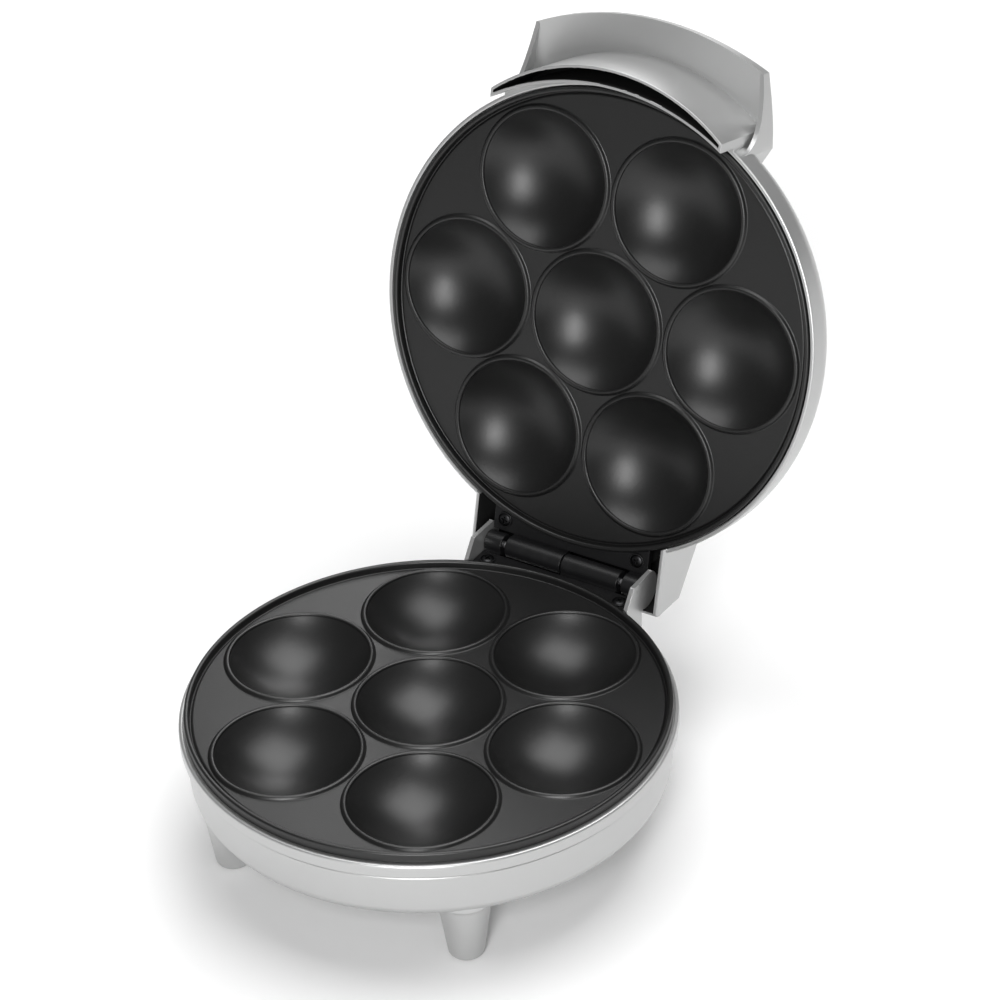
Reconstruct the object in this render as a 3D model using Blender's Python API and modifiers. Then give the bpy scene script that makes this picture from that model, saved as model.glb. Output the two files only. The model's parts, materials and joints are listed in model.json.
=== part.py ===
"""Electric donut maker: two seven-cup plates, a hinged lid and a base on four feet.

All sizes are metres. Pieces are drawn in the closed position around the middle of
the base plate: the rims of its cups lie at Z = 0, the hinge runs along X at the back
(+Y) and the handle is at the front (-Y). The lid's frame then swings open about the
hinge pin, and the whole model is set down with its origin under the middle of its box.
"""

import math

import bmesh
import bpy
from mathutils import Vector

# ---------------------------------------------------------------- driving sizes
CUP_RADIUS = 0.0276
CUP_DEPTH = 0.0145
CUPS_ROUND = 6
BEAD_WIDTH = 0.0022
BEAD_HEIGHT = 0.0012
CUP_SPACING = 0.0014
PLATE_MARGIN = 0.0047
PLATE_WALL = 0.0018
LIP_WIDTH = 0.0019
LIP_HEIGHT = 0.0024
CLOSED_GAP = 0.0028
OPEN_ANGLE = math.radians(104.26)

RIM_WIDTH = 0.0018
RIM_GAP = 0.0004
RIM_DROP = 0.0030
RIM_BAND = 0.0055
BODY_INSET = 0.0026
BODY_CORNER = 0.0060
BODY_TAPER = 0.0008
WALL = 0.0018
FLOOR = 0.0020
LEDGE_WIDTH = 0.0033
WIRING_SPACE = 0.0027
LID_AIR = 0.0010
LID_WALL_HEIGHT = 0.0080
LID_SHOULDER = 0.0317
LID_DOME = 0.0006

ELEMENT_RADIUS = 0.0030
ELEMENT_GAP_ANGLE = math.radians(22)
ELEMENT_TAIL = 0.0200
SHIELD_THICKNESS = 0.0008
SHIELD_OVERHANG = 0.0110
SHIELD_SCREW_HEAD = 0.0016

FOOT_HEIGHT = 0.0274
FOOT_TOP_RADIUS = 0.0107
FOOT_TIP_RADIUS = 0.0070
FOOT_WALL = 0.0020
FRONT_FOOT_INSET = 0.0155
REAR_FOOT_INSET = 0.0145
FRONT_FOOT_ANGLE = math.radians(48.9)
REAR_FOOT_ANGLE = math.radians(77)
PAD_RADIUS = 0.0050
PAD_HEIGHT = 0.0026
PAD_PROUD = 0.0004

HINGE_OFFSET = 0.0068
BARREL_RADIUS = 0.0046
BARREL_LENGTH = 0.0267
KNUCKLE_LENGTH = 0.0080
KNUCKLE_SPACE = 0.0020
PIN_RADIUS = 0.0015
BRACKET_THICKNESS = 0.0030
BRACKET_TOP = -0.0009
BRACKET_SCREW_X = 0.0315
BRACKET_SCREW_LENGTH = 0.0110
SCREW_HEAD_RADIUS = 0.0027
SCREW_HEAD_HEIGHT = 0.0015
SCREW_SHANK_RADIUS = 0.0014
EAR_THICKNESS = 0.0018
EAR_TOP = 0.0085
NOSE_RADIUS = 0.0083
BUMP_DEPTH = 0.0120
STOP_GAP = 0.0005

BOX_HALF_WIDTH = 0.0450
BOX_CLEARANCE = 0.0006
BOX_BOTTOM = 0.0005
BOX_SLOPE_RUN = 0.0250
BOX_SLOPE_DROP = 0.0110

HANDLE_REACH = 0.0239
HANDLE_HALF_WIDTH = 0.0513
HANDLE_FLARE = 0.0034
HANDLE_TIP_BOTTOM = 0.0210
HANDLE_TIP_THICKNESS = 0.0027
HANDLE_WALL = 0.0018
CREASE_INSET = 0.0138
CREASE_RISE = 0.0037
SKIRT_DROP = 0.0093
SKIRT_GAP = 0.0009
SKIRT_WALL = 0.0012
SKIRT_REACH = 0.0085
SKIRT_BOW = 0.0247

POST_RADIUS = 0.0050
POST_CIRCLE_INSET = 0.0157
BOSS_RADIUS = 0.0038
PLATE_BOSS_LENGTH = 0.0060
POST_SEAT = 0.0040
SHIELD_BITE = 0.0060
LAMP_SPACING = 0.0180
LAMP_RADIUS = 0.0032
LAMP_PROUD = 0.0008
LAMP_POST = 0.0022
LAMP_BOARD = 0.0022
GLAND_RADIUS = 0.0050
GLAND_BORE = 0.0026
GLAND_NECK = 0.0038
GLAND_FLANGE = 0.0018
GLAND_RISE = 0.0068

TOUCH = 0.0003
PIN_CLEARANCE = 0.00015
HOLE_CLEARANCE = 0.0003
CUT_MARGIN = 0.0020

CUP_SIDES = 16
ROUND_SIDES = 48
SMALL_SIDES = 12

# ---------------------------------------------------------------- derived sizes
CUP_RIM_RADIUS = CUP_RADIUS + BEAD_WIDTH
CUP_PITCH = 2 * CUP_RIM_RADIUS + CUP_SPACING
PLATE_RADIUS = CUP_PITCH + CUP_RIM_RADIUS + PLATE_MARGIN
PLATE_TOP = -BEAD_HEIGHT
PLATE_BOTTOM = PLATE_TOP - PLATE_WALL
RIM_INNER = PLATE_RADIUS + RIM_GAP
HOUSING_RADIUS = RIM_INNER + RIM_WIDTH
BODY_RADIUS = HOUSING_RADIUS - BODY_INSET
BODY_INNER = BODY_RADIUS - WALL
LEDGE_TOP = PLATE_BOTTOM - TOUCH

CUP_BOTTOM = -CUP_DEPTH - PLATE_WALL
ELEMENT_Z = CUP_BOTTOM - TOUCH - ELEMENT_RADIUS
SHIELD_TOP = ELEMENT_Z - ELEMENT_RADIUS - TOUCH
SHIELD_BOTTOM = SHIELD_TOP - SHIELD_THICKNESS
STACK_BOTTOM = SHIELD_BOTTOM - TOUCH - SHIELD_SCREW_HEAD
FLOOR_TOP = STACK_BOTTOM - WIRING_SPACE
FLOOR_BOTTOM = FLOOR_TOP - FLOOR
TABLE_Z = FLOOR_BOTTOM - FOOT_HEIGHT
LID_INNER_TOP = CLOSED_GAP - STACK_BOTTOM + LID_AIR
LID_TOP = LID_INNER_TOP + WALL
LID_RIM_Z = CLOSED_GAP - LIP_HEIGHT / 3
LID_FLAT_RADIUS = HOUSING_RADIUS - LID_SHOULDER

HINGE_Y = HOUSING_RADIUS + HINGE_OFFSET
HINGE_Z = CLOSED_GAP / 2
HINGE_HALF_LENGTH = BARREL_LENGTH + KNUCKLE_SPACE + KNUCKLE_LENGTH
BRACKET_BOTTOM = BRACKET_TOP - BRACKET_THICKNESS
BRACKET_BACK = HINGE_Y - BARREL_RADIUS - TOUCH
SCREW_RING = 1.25 * SCREW_HEAD_RADIUS
SCREW_SEAT_Z = BRACKET_TOP - SCREW_HEAD_HEIGHT / 2
BRACKET_SCREW_Y = math.sqrt((PLATE_RADIUS + TOUCH + SCREW_RING + 0.0004) ** 2 - BRACKET_SCREW_X ** 2)
EAR_INNER_X = HINGE_HALF_LENGTH + TOUCH
EAR_OUTER_X = EAR_INNER_X + EAR_THICKNESS
BOX_INNER_Y = HINGE_Y + NOSE_RADIUS + BOX_CLEARANCE
BOX_OUTER_Y = BOX_INNER_Y + WALL
SHIELD_RADIUS = CUP_PITCH + SHIELD_OVERHANG
SHIELD_SCREW_CIRCLE = CUP_PITCH / math.sqrt(3)
POST_CIRCLE = PLATE_RADIUS - POST_CIRCLE_INSET
GLAND_Z = FLOOR_TOP + GLAND_RISE
DOME_START = LID_RIM_Z + LID_WALL_HEIGHT
DOME_RUN = (POST_CIRCLE - LID_FLAT_RADIUS) / (RIM_INNER - LID_FLAT_RADIUS)
LAMP_Y = -POST_CIRCLE + 0.0017
LAMP_ROOF = DOME_START + (LID_INNER_TOP - DOME_START) * math.sqrt(1 - DOME_RUN ** 2)
LAMP_SEAT_Z = LAMP_ROOF - 0.0035
LAMP_TOP = LID_TOP - 0.0006 + LAMP_PROUD
HANDLE_TIP_RADIUS = HOUSING_RADIUS + HANDLE_REACH
HANDLE_TIP_TOP = HANDLE_TIP_BOTTOM + HANDLE_TIP_THICKNESS
CREASE_Y = -(HANDLE_TIP_RADIUS - CREASE_INSET)
CREASE_Z = HANDLE_TIP_BOTTOM + CREASE_RISE
SKIRT_INNER = HOUSING_RADIUS + SKIRT_GAP
SKIRT_FRONT = HOUSING_RADIUS + SKIRT_REACH
SKIRT_OUTER = SKIRT_FRONT - SKIRT_BOW

POST_ANGLES = [math.radians(a) for a in (30, 150, 210, 330)]
SHIELD_SCREW_ANGLES = [math.radians(a) for a in (30, 150, 270)]
LAMP_NAMES = {"power_lamp_lens": -1, "ready_lamp_lens": 1}


# ---------------------------------------------------------------- scene and materials
def empty_scene():
    """Remove every object that the scene holds."""
    for item in list(bpy.data.objects):
        bpy.data.objects.remove(item, do_unlink=True)


def new_collection(name):
    """Return a new collection linked to the scene."""
    collection = bpy.data.collections.new(name)
    bpy.context.scene.collection.children.link(collection)
    return collection


def new_finish(name, colour, roughness, metallic=0.0):
    """Return a Principled material."""
    finish = bpy.data.materials.new(name)
    finish.use_nodes = True
    shader = finish.node_tree.nodes["Principled BSDF"]
    shader.inputs["Base Color"].default_value = (*colour, 1.0)
    shader.inputs["Roughness"].default_value = roughness
    shader.inputs["Metallic"].default_value = metallic
    finish.diffuse_color = (*colour, 1.0)
    return finish


def new_frame(name, parent=None, location=(0, 0, 0), rotation=(0, 0, 0)):
    """Return an empty that other objects hang from."""
    frame = bpy.data.objects.new(name, None)
    frame.parent = parent
    frame.location = location
    frame.rotation_euler = rotation
    frame.empty_display_size = 0.01
    parts.objects.link(frame)
    return frame


empty_scene()
parts = new_collection("donut_maker")
cutters = new_collection("donut_maker_cutters")

SILVER = new_finish("silver_shell", (0.60, 0.61, 0.61), 0.32, 0.35)
NON_STICK = new_finish("non_stick_coating", (0.045, 0.045, 0.047), 0.42, 0.2)
BLACK = new_finish("black_moulding", (0.02, 0.02, 0.02), 0.45)
STEEL = new_finish("steel", (0.55, 0.55, 0.56), 0.3, 1.0)
DARK_STEEL = new_finish("dark_steel", (0.12, 0.12, 0.12), 0.4, 1.0)
SHEET = new_finish("aluminised_sheet", (0.7, 0.7, 0.7), 0.35, 1.0)
RUBBER = new_finish("rubber", (0.05, 0.05, 0.05), 0.8)
CERAMIC = new_finish("white_ceramic", (0.85, 0.84, 0.8), 0.5)
RED_LENS = new_finish("red_lens", (0.6, 0.02, 0.02), 0.15)
GREEN_LENS = new_finish("green_lens", (0.02, 0.45, 0.06), 0.15)
SLEEVE = new_finish("glass_fibre_sleeve", (0.75, 0.74, 0.68), 0.7)


# ---------------------------------------------------------------- shape makers
def link(name, mesh, frame, finish=None, collection=None):
    """Link a mesh as a named object under a frame."""
    item = bpy.data.objects.new(name, mesh)
    item.parent = frame
    if finish is not None:
        mesh.materials.clear()
        mesh.materials.append(finish)
    (collection or parts).objects.link(item)
    return item


def mesh_from(shape, name):
    """Turn a bmesh into a mesh whose faces point out."""
    bmesh.ops.recalc_face_normals(shape, faces=shape.faces)
    mesh = bpy.data.meshes.new(name)
    shape.to_mesh(mesh)
    shape.free()
    return mesh


def turned(name, profile, frame, finish=None, closed=False, sides=ROUND_SIDES):
    """Spin a profile of (radius, z) about Z with a Screw modifier."""
    mesh = bpy.data.meshes.new(name)
    count = len(profile)
    edges = [(i, i + 1) for i in range(count - 1)]
    if closed:
        edges.append((count - 1, 0))
    mesh.from_pydata([(r, 0.0, z) for r, z in profile], edges, [])
    item = link(name, mesh, frame, finish)
    screw = item.modifiers.new("turn", "SCREW")
    screw.steps = sides
    screw.render_steps = sides
    screw.use_merge_vertices = True
    screw.merge_threshold = 0.00001
    screw.use_smooth_shade = True
    return item


def cylinder(name, radius, start, end, frame, finish=None, end_radius=None, sides=SMALL_SIDES):
    """A cylinder or cone between two points on one of the axes."""
    start = Vector(start)
    end = Vector(end)
    shape = bmesh.new()
    bmesh.ops.create_cone(shape, cap_ends=True, segments=sides, radius1=radius,
                          radius2=radius if end_radius is None else end_radius,
                          depth=(end - start).length)
    item = link(name, mesh_from(shape, name), frame, finish)
    item.location = (start + end) / 2
    item.rotation_mode = "QUATERNION"
    item.rotation_quaternion = Vector((0, 0, 1)).rotation_difference(end - start)
    return item


def block(name, low, high, frame, finish=None):
    """A box between two corners."""
    low = Vector(low)
    high = Vector(high)
    shape = bmesh.new()
    bmesh.ops.create_cube(shape, size=1.0)
    bmesh.ops.scale(shape, vec=high - low, verts=shape.verts)
    item = link(name, mesh_from(shape, name), frame, finish)
    item.location = (low + high) / 2
    return item


def curve_to_mesh(name, curve, location, rotation, frame, finish):
    """Make a curve a closed mesh object in the same place."""
    source = bpy.data.objects.new(name, curve)
    parts.objects.link(source)
    source.location = location
    source.rotation_euler = rotation
    bpy.context.view_layer.update()
    seen = source.evaluated_get(bpy.context.evaluated_depsgraph_get())
    mesh = bpy.data.meshes.new_from_object(seen)
    shape = bmesh.new()
    shape.from_mesh(mesh)
    bmesh.ops.remove_doubles(shape, verts=shape.verts, dist=0.000001)
    bpy.data.meshes.remove(mesh)
    place = source.matrix_world.copy()
    bpy.data.objects.remove(source)
    item = link(name, mesh_from(shape, name), frame, finish)
    item.matrix_local = place
    return item


def prism(name, outline, low, high, frame, finish=None, along="Z"):
    """Extrude a flat outline: (x, y) points along Z, or (y, z) points along X."""
    curve = bpy.data.curves.new(name, "CURVE")
    curve.dimensions = "2D"
    curve.fill_mode = "BOTH"
    curve.extrude = (high - low) / 2
    spline = curve.splines.new("POLY")
    spline.points.add(len(outline) - 1)
    for point, (a, b) in zip(spline.points, outline):
        point.co = (a, b, 0, 1)
    spline.use_cyclic_u = True
    middle = (low + high) / 2
    if along == "Z":
        return curve_to_mesh(name, curve, (0, 0, middle), (0, 0, 0), frame, finish)
    quarter = math.pi / 2
    return curve_to_mesh(name, curve, (middle, 0, 0), (quarter, 0, quarter), frame, finish)


def tube(name, points, radius, frame, finish, resolution=2):
    """A round rod that follows points, as a POLY curve with filled caps."""
    curve = bpy.data.curves.new(name, "CURVE")
    curve.dimensions = "3D"
    curve.bevel_depth = radius
    curve.bevel_resolution = resolution
    curve.use_fill_caps = True
    spline = curve.splines.new("POLY")
    spline.points.add(len(points) - 1)
    for point, place in zip(spline.points, points):
        point.co = (*place, 1)
    return curve_to_mesh(name, curve, (0, 0, 0), (0, 0, 0), frame, finish)


def combine(target, tool, operation):
    """Join, cut or intersect a target with a tool, which moves to the cutters."""
    change = target.modifiers.new(operation.lower() + "_" + tool.name, "BOOLEAN")
    change.operation = operation
    change.solver = "EXACT"
    change.object = tool
    for collection in list(tool.users_collection):
        collection.objects.unlink(tool)
    cutters.objects.link(tool)
    tool.hide_render = True
    tool.display_type = "WIRE"
    return target


def join(target, *tools):
    """Unite tools with a target."""
    for tool in tools:
        combine(target, tool, "UNION")
    return target


def cut(target, *tools):
    """Subtract tools from a target."""
    for tool in tools:
        combine(target, tool, "DIFFERENCE")
    return target


def repeated(name, source, frame, finish, location=(0, 0, 0)):
    """Place a finished copy of a piece under another frame."""
    bpy.context.view_layer.update()
    seen = source.evaluated_get(bpy.context.evaluated_depsgraph_get())
    mesh = bpy.data.meshes.new_from_object(seen)
    mesh.transform(source.matrix_local)
    item = link(name, mesh, frame, finish)
    item.location = location
    return item


def arc(centre, radius, start, end, steps):
    """Points on an arc, from one angle to another."""
    points = []
    for i in range(steps + 1):
        a = start + (end - start) * i / steps
        points.append((centre[0] + radius * math.cos(a), centre[1] + radius * math.sin(a)))
    return points


def polar(radius, angle):
    """A point in the XY plane."""
    return radius * math.cos(angle), radius * math.sin(angle)


def smooth_path(points, steps):
    """Points along a Catmull-Rom curve through a route."""
    route = [Vector(p) for p in points]
    route = [2 * route[0] - route[1]] + route + [2 * route[-1] - route[-2]]
    path = []
    for a, b, c, d in zip(route, route[1:], route[2:], route[3:]):
        for i in range(steps):
            t = i / steps
            path.append(0.5 * (2 * b + (c - a) * t + (2 * a - 5 * b + 4 * c - d) * t * t
                               + (3 * b - a - 3 * c + d) * t ** 3))
    path.append(route[-2])
    return path


# ---------------------------------------------------------------- plates and heating
def cup_centres():
    """Centres of the seven cups: one in the middle and a ring of six."""
    ring = [polar(CUP_PITCH, 2 * math.pi * i / CUPS_ROUND) for i in range(CUPS_ROUND)]
    return [(0.0, 0.0)] + ring


def cap_profile(radius, depth, top, steps):
    """Half section of a spherical dish from its mouth down to its pole."""
    ball = (radius ** 2 + depth ** 2) / (2 * depth)
    half_angle = math.asin(min(1.0, radius / ball))
    points = []
    for i in range(steps + 1):
        a = half_angle * (1 - i / steps)
        points.append((ball * math.sin(a), top - depth + ball * (1 - math.cos(a))))
    points[-1] = (0.0, top - depth)
    return points


def cup_outside(name, frame):
    """Solid of a cup's bead and outer wall, before it is hollowed."""
    wall_radius = CUP_RADIUS + PLATE_WALL * 0.8
    dish = cap_profile(wall_radius, CUP_DEPTH + PLATE_WALL + PLATE_TOP, PLATE_TOP, 3)
    profile = [(0.0, 0.0), (CUP_RADIUS + 0.7 * BEAD_WIDTH, 0.0),
               (CUP_RIM_RADIUS, -0.5 * BEAD_HEIGHT), (CUP_RIM_RADIUS, PLATE_TOP - PLATE_WALL / 2),
               (dish[0][0], PLATE_TOP - PLATE_WALL / 2 - TOUCH)]
    lower = [p for p in dish if p[1] < PLATE_TOP - PLATE_WALL]
    return turned(name, profile + lower, frame, sides=CUP_SIDES)


def cup_cavity(name, frame):
    """Cutter for the dish of one cup."""
    dish = cap_profile(CUP_RADIUS, CUP_DEPTH, 0.0, 3)
    profile = [(0.0, CUT_MARGIN), (CUP_RADIUS + CUT_MARGIN * 0.3, CUT_MARGIN)] + dish
    return turned(name, profile, frame, sides=CUP_SIDES)


def make_plate(frame):
    """Cast plate with seven cups, a raised lip and the bosses under it."""
    lip_inner = PLATE_RADIUS - LIP_WIDTH
    lip_top = PLATE_TOP + LIP_HEIGHT
    disc = [(0.0, PLATE_TOP), (lip_inner, PLATE_TOP), (lip_inner + LIP_WIDTH / 4, lip_top),
            (PLATE_RADIUS - LIP_WIDTH / 4, lip_top), (PLATE_RADIUS, lip_top - LIP_WIDTH / 4),
            (PLATE_RADIUS, PLATE_BOTTOM), (0.0, PLATE_BOTTOM)]
    plate = turned("base_plate", disc, frame, NON_STICK)
    for i, (x, y) in enumerate(cup_centres()):
        outside = cup_outside(f"cup_outside_{i}", frame)
        outside.location = (x, y, 0)
        join(plate, outside)
    for i, (x, y) in enumerate(cup_centres()):
        cavity = cup_cavity(f"cup_cavity_{i}", frame)
        cavity.location = (x, y, 0)
        cut(plate, cavity)
    plate_root = PLATE_BOTTOM + PLATE_WALL / 2
    for i, angle in enumerate(POST_ANGLES):
        x, y = polar(POST_CIRCLE, angle)
        low = PLATE_BOTTOM - PLATE_BOSS_LENGTH
        join(plate, cylinder(f"plate_boss_{i}", BOSS_RADIUS, (x, y, low), (x, y, plate_root), frame))
        drill_boss(plate, f"plate_boss_hole_{i}", x, y, low, PLATE_BOTTOM - TOUCH, frame)
    for i, angle in enumerate(SHIELD_SCREW_ANGLES):
        x, y = polar(SHIELD_SCREW_CIRCLE, angle)
        low = SHIELD_TOP + TOUCH
        join(plate, cylinder(f"shield_boss_{i}", BOSS_RADIUS, (x, y, low), (x, y, plate_root), frame))
        drill_boss(plate, f"shield_boss_hole_{i}", x, y, low, low + SHIELD_BITE + TOUCH, frame)
    return plate


def drill_boss(target, name, x, y, low, top, frame):
    """Blind screw hole that starts below a boss."""
    radius = SCREW_SHANK_RADIUS + HOLE_CLEARANCE
    cut(target, cylinder(name, radius, (x, y, low - CUT_MARGIN), (x, y, top), frame, sides=12))


def make_element(frame):
    """Tubular heating element: an open ring under the outer cups, with two tails."""
    rear = math.pi / 2
    start = rear + ELEMENT_GAP_ANGLE
    end = rear - ELEMENT_GAP_ANGLE + 2 * math.pi
    outer = CUP_PITCH + ELEMENT_TAIL
    bend = 0.006
    ring = arc((0, 0), CUP_PITCH, start + bend / CUP_PITCH, end - bend / CUP_PITCH, 28)
    points = [polar(outer, start), polar(CUP_PITCH + bend, start)]
    points.append(polar(CUP_PITCH + bend * 0.3, start + 0.03))
    points += ring
    points += [polar(CUP_PITCH + bend * 0.3, end - 0.03), polar(CUP_PITCH + bend, end), polar(outer, end)]
    path = [(x, y, ELEMENT_Z) for x, y in points]
    return tube("base_heating_element", path, ELEMENT_RADIUS, frame, DARK_STEEL, resolution=1)


def make_shield(frame):
    """Sheet disc that holds the element against the cups and turns the heat back."""
    edge = 0.002
    inner = SHIELD_RADIUS - SHIELD_THICKNESS
    disc = [(0.0, SHIELD_TOP), (SHIELD_RADIUS, SHIELD_TOP), (SHIELD_RADIUS, SHIELD_BOTTOM - edge),
            (inner, SHIELD_BOTTOM - edge), (inner, SHIELD_BOTTOM), (0.0, SHIELD_BOTTOM)]
    shield = turned("base_heat_shield", disc, frame, SHEET, sides=32)
    for i, angle in enumerate(SHIELD_SCREW_ANGLES):
        x, y = polar(SHIELD_SCREW_CIRCLE, angle)
        hole = cylinder(f"shield_hole_{i}", SCREW_SHANK_RADIUS + HOLE_CLEARANCE,
                        (x, y, SHIELD_BOTTOM - CUT_MARGIN), (x, y, SHIELD_TOP + CUT_MARGIN), frame, sides=12)
        cut(shield, hole)
    return shield


def screw_profile(head_radius, head_height, length):
    """Half section of a pan-head screw whose head stands on Z = 0, shank down."""
    return [(0.0, head_height), (0.75 * head_radius, head_height), (head_radius, 0.45 * head_height),
            (head_radius, 0.0), (SCREW_SHANK_RADIUS, 0.0), (SCREW_SHANK_RADIUS, -length), (0.0, -length)]


def make_screw(name, frame, place, length, upward=False, recessed=True):
    """A cross-head screw; upward ones are driven from below."""
    profile = screw_profile(SCREW_HEAD_RADIUS, SCREW_HEAD_HEIGHT, length)
    screw = turned(name, profile, frame, DARK_STEEL, sides=12)
    screw.location = place
    if upward:
        screw.rotation_euler = (math.pi, 0, 0)
    if recessed:
        arm = 0.0013
        half = 0.0003
        depth = 0.6 * SCREW_HEAD_HEIGHT
        for i, (dx, dy) in enumerate(((arm, half), (half, arm))):
            slot = block(f"{name}_slot_{i}", (-dx, -dy, SCREW_HEAD_HEIGHT - depth),
                         (dx, dy, SCREW_HEAD_HEIGHT + CUT_MARGIN), screw)
            cut(screw, slot)
    return screw


# ---------------------------------------------------------------- hinge
def make_bracket(frame):
    """Hinge bracket: a flange with two sunk screws, one long barrel and one knuckle."""
    half = HINGE_HALF_LENGTH
    front = PLATE_RADIUS + RIM_GAP
    edge = math.asin(half / front)
    outline = arc((0, 0), front, math.pi / 2 + edge, math.pi / 2 - edge, 16)
    outline += [(half, BRACKET_BACK), (-half, BRACKET_BACK)]
    bracket = prism("base_hinge_bracket", outline, BRACKET_BOTTOM, BRACKET_TOP, frame, BLACK)
    spans = {"barrel": (TOUCH, BARREL_LENGTH), "knuckle": (-half, -half + KNUCKLE_LENGTH)}
    for name, (low, high) in spans.items():
        web_low = (low, BRACKET_BACK - WALL, BRACKET_BOTTOM + TOUCH)
        join(bracket, block(f"{name}_web", web_low, (high, HINGE_Y, BRACKET_TOP - TOUCH), frame))
        join(bracket, cylinder(name, BARREL_RADIUS, (low, HINGE_Y, HINGE_Z), (high, HINGE_Y, HINGE_Z),
                               frame, sides=24))
    bore = PIN_RADIUS + PIN_CLEARANCE
    cut(bracket, cylinder("pin_bore", bore, (-half - CUT_MARGIN, HINGE_Y, HINGE_Z),
                          (half + CUT_MARGIN, HINGE_Y, HINGE_Z), frame))
    for side in (-1, 1):
        place = (side * BRACKET_SCREW_X, BRACKET_SCREW_Y)
        sink_screw(bracket, place, frame)
    return bracket


def sink_screw(bracket, place, frame):
    """Raised ring, sunk seat and clearance hole for one bracket screw."""
    x, y = place
    ring = cylinder(f"screw_ring_{x:+.3f}", SCREW_RING, (x, y, BRACKET_BOTTOM + TOUCH),
                    (x, y, BRACKET_TOP + SCREW_HEAD_HEIGHT / 2), frame)
    seat = cylinder(f"screw_seat_{x:+.3f}", SCREW_HEAD_RADIUS + TOUCH / 2, (x, y, SCREW_SEAT_Z),
                    (x, y, BRACKET_TOP + CUT_MARGIN), frame)
    hole = cylinder(f"screw_hole_{x:+.3f}", SCREW_SHANK_RADIUS + HOLE_CLEARANCE,
                    (x, y, BRACKET_BOTTOM - CUT_MARGIN), (x, y, BRACKET_TOP), frame, sides=12)
    join(bracket, ring)
    cut(bracket, seat, hole)


# ---------------------------------------------------------------- base
def body_profile():
    """Outer half section of the base bowl, from its rim to the middle of its floor."""
    edge = 0.0008
    band_bottom = -RIM_DROP - RIM_BAND
    corner = arc((BODY_RADIUS - BODY_CORNER, FLOOR_BOTTOM + BODY_CORNER), BODY_CORNER, 0, -math.pi / 2, 3)
    return [(RIM_INNER, -RIM_DROP), (HOUSING_RADIUS - edge, -RIM_DROP), (HOUSING_RADIUS, -RIM_DROP - edge),
            (HOUSING_RADIUS, band_bottom), (BODY_RADIUS + BODY_TAPER, band_bottom - BODY_INSET)] + corner + \
           [(0.0, FLOOR_BOTTOM)]


def base_cavity(frame):
    """Cutter for the inside of the base bowl, with the ledge that the plate sits on."""
    above = EAR_TOP
    inner_corner = BODY_CORNER - WALL
    corner = arc((BODY_INNER - inner_corner, FLOOR_TOP + inner_corner), inner_corner, 0, -math.pi / 2, 2)
    ledge_inner = RIM_INNER - LEDGE_WIDTH
    profile = [(0.0, above), (RIM_INNER, above), (RIM_INNER, LEDGE_TOP), (ledge_inner, LEDGE_TOP),
               (ledge_inner, LEDGE_TOP - WALL), (BODY_INNER, LEDGE_TOP - 2 * WALL)] + corner + \
              [(0.0, FLOOR_TOP)]
    return turned("base_cavity", profile, frame)


def open_edge(y, z):
    """Where a point of the closed lid lies once the lid is open."""
    dy = y - HINGE_Y
    dz = z - HINGE_Z
    c = math.cos(OPEN_ANGLE)
    s = math.sin(OPEN_ANGLE)
    return HINGE_Y + dy * c + dz * s, HINGE_Z - dy * s + dz * c


def bump_back():
    """Rear face of the base under the hinge, which the open lid leans against."""
    return open_edge(BOX_OUTER_Y, BOX_BOTTOM)[0] - STOP_GAP


def foot_places():
    """Centres of the four feet, by name."""
    front = polar(HOUSING_RADIUS - FRONT_FOOT_INSET, -FRONT_FOOT_ANGLE)
    rear = polar(HOUSING_RADIUS - REAR_FOOT_INSET, REAR_FOOT_ANGLE)
    places = {}
    for end, (x, y) in (("front", front), ("rear", rear)):
        places[f"{end}_left"] = (-x, y)
        places[f"{end}_right"] = (x, y)
    return places


def add_feet(housing, frame):
    """Tapered feet under the bowl."""
    root = FLOOR_BOTTOM + BODY_CORNER / 2
    taper = (FOOT_TOP_RADIUS - FOOT_TIP_RADIUS) / FOOT_HEIGHT
    for name, (x, y) in foot_places().items():
        top_radius = FOOT_TIP_RADIUS + taper * (root - TABLE_Z)
        foot = cylinder(f"foot_{name}", FOOT_TIP_RADIUS, (x, y, TABLE_Z + PAD_PROUD), (x, y, root), frame,
                        end_radius=top_radius, sides=16)
        join(housing, foot)


def hollow_feet(housing, frame):
    """Hollow the feet from inside and give each a pocket for its pad."""
    tip = TABLE_Z + PAD_PROUD
    for name, (x, y) in foot_places().items():
        hollow_low = tip + PAD_HEIGHT + FOOT_WALL
        cut(housing, cylinder(f"foot_hollow_{name}", FOOT_TIP_RADIUS - FOOT_WALL, (x, y, hollow_low),
                              (x, y, FLOOR_TOP + TOUCH), frame, end_radius=FOOT_TOP_RADIUS - FOOT_WALL))
        cut(housing, cylinder(f"foot_pocket_{name}", PAD_RADIUS + TOUCH, (x, y, tip - CUT_MARGIN),
                              (x, y, tip + PAD_HEIGHT - PAD_PROUD + TOUCH), frame))


def rear_bump(frame):
    """Block behind the bowl that carries the hinge bracket."""
    back = bump_back()
    low = BRACKET_BOTTOM - TOUCH - BUMP_DEPTH
    outline = [(BODY_RADIUS * 0.8, BRACKET_TOP), (back, BRACKET_TOP), (back, low + BUMP_DEPTH * 0.25),
               (BODY_RADIUS, low), (BODY_RADIUS * 0.8, low)]
    return prism("rear_bump", outline, -EAR_OUTER_X, EAR_OUTER_X, frame, along="X")


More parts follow.
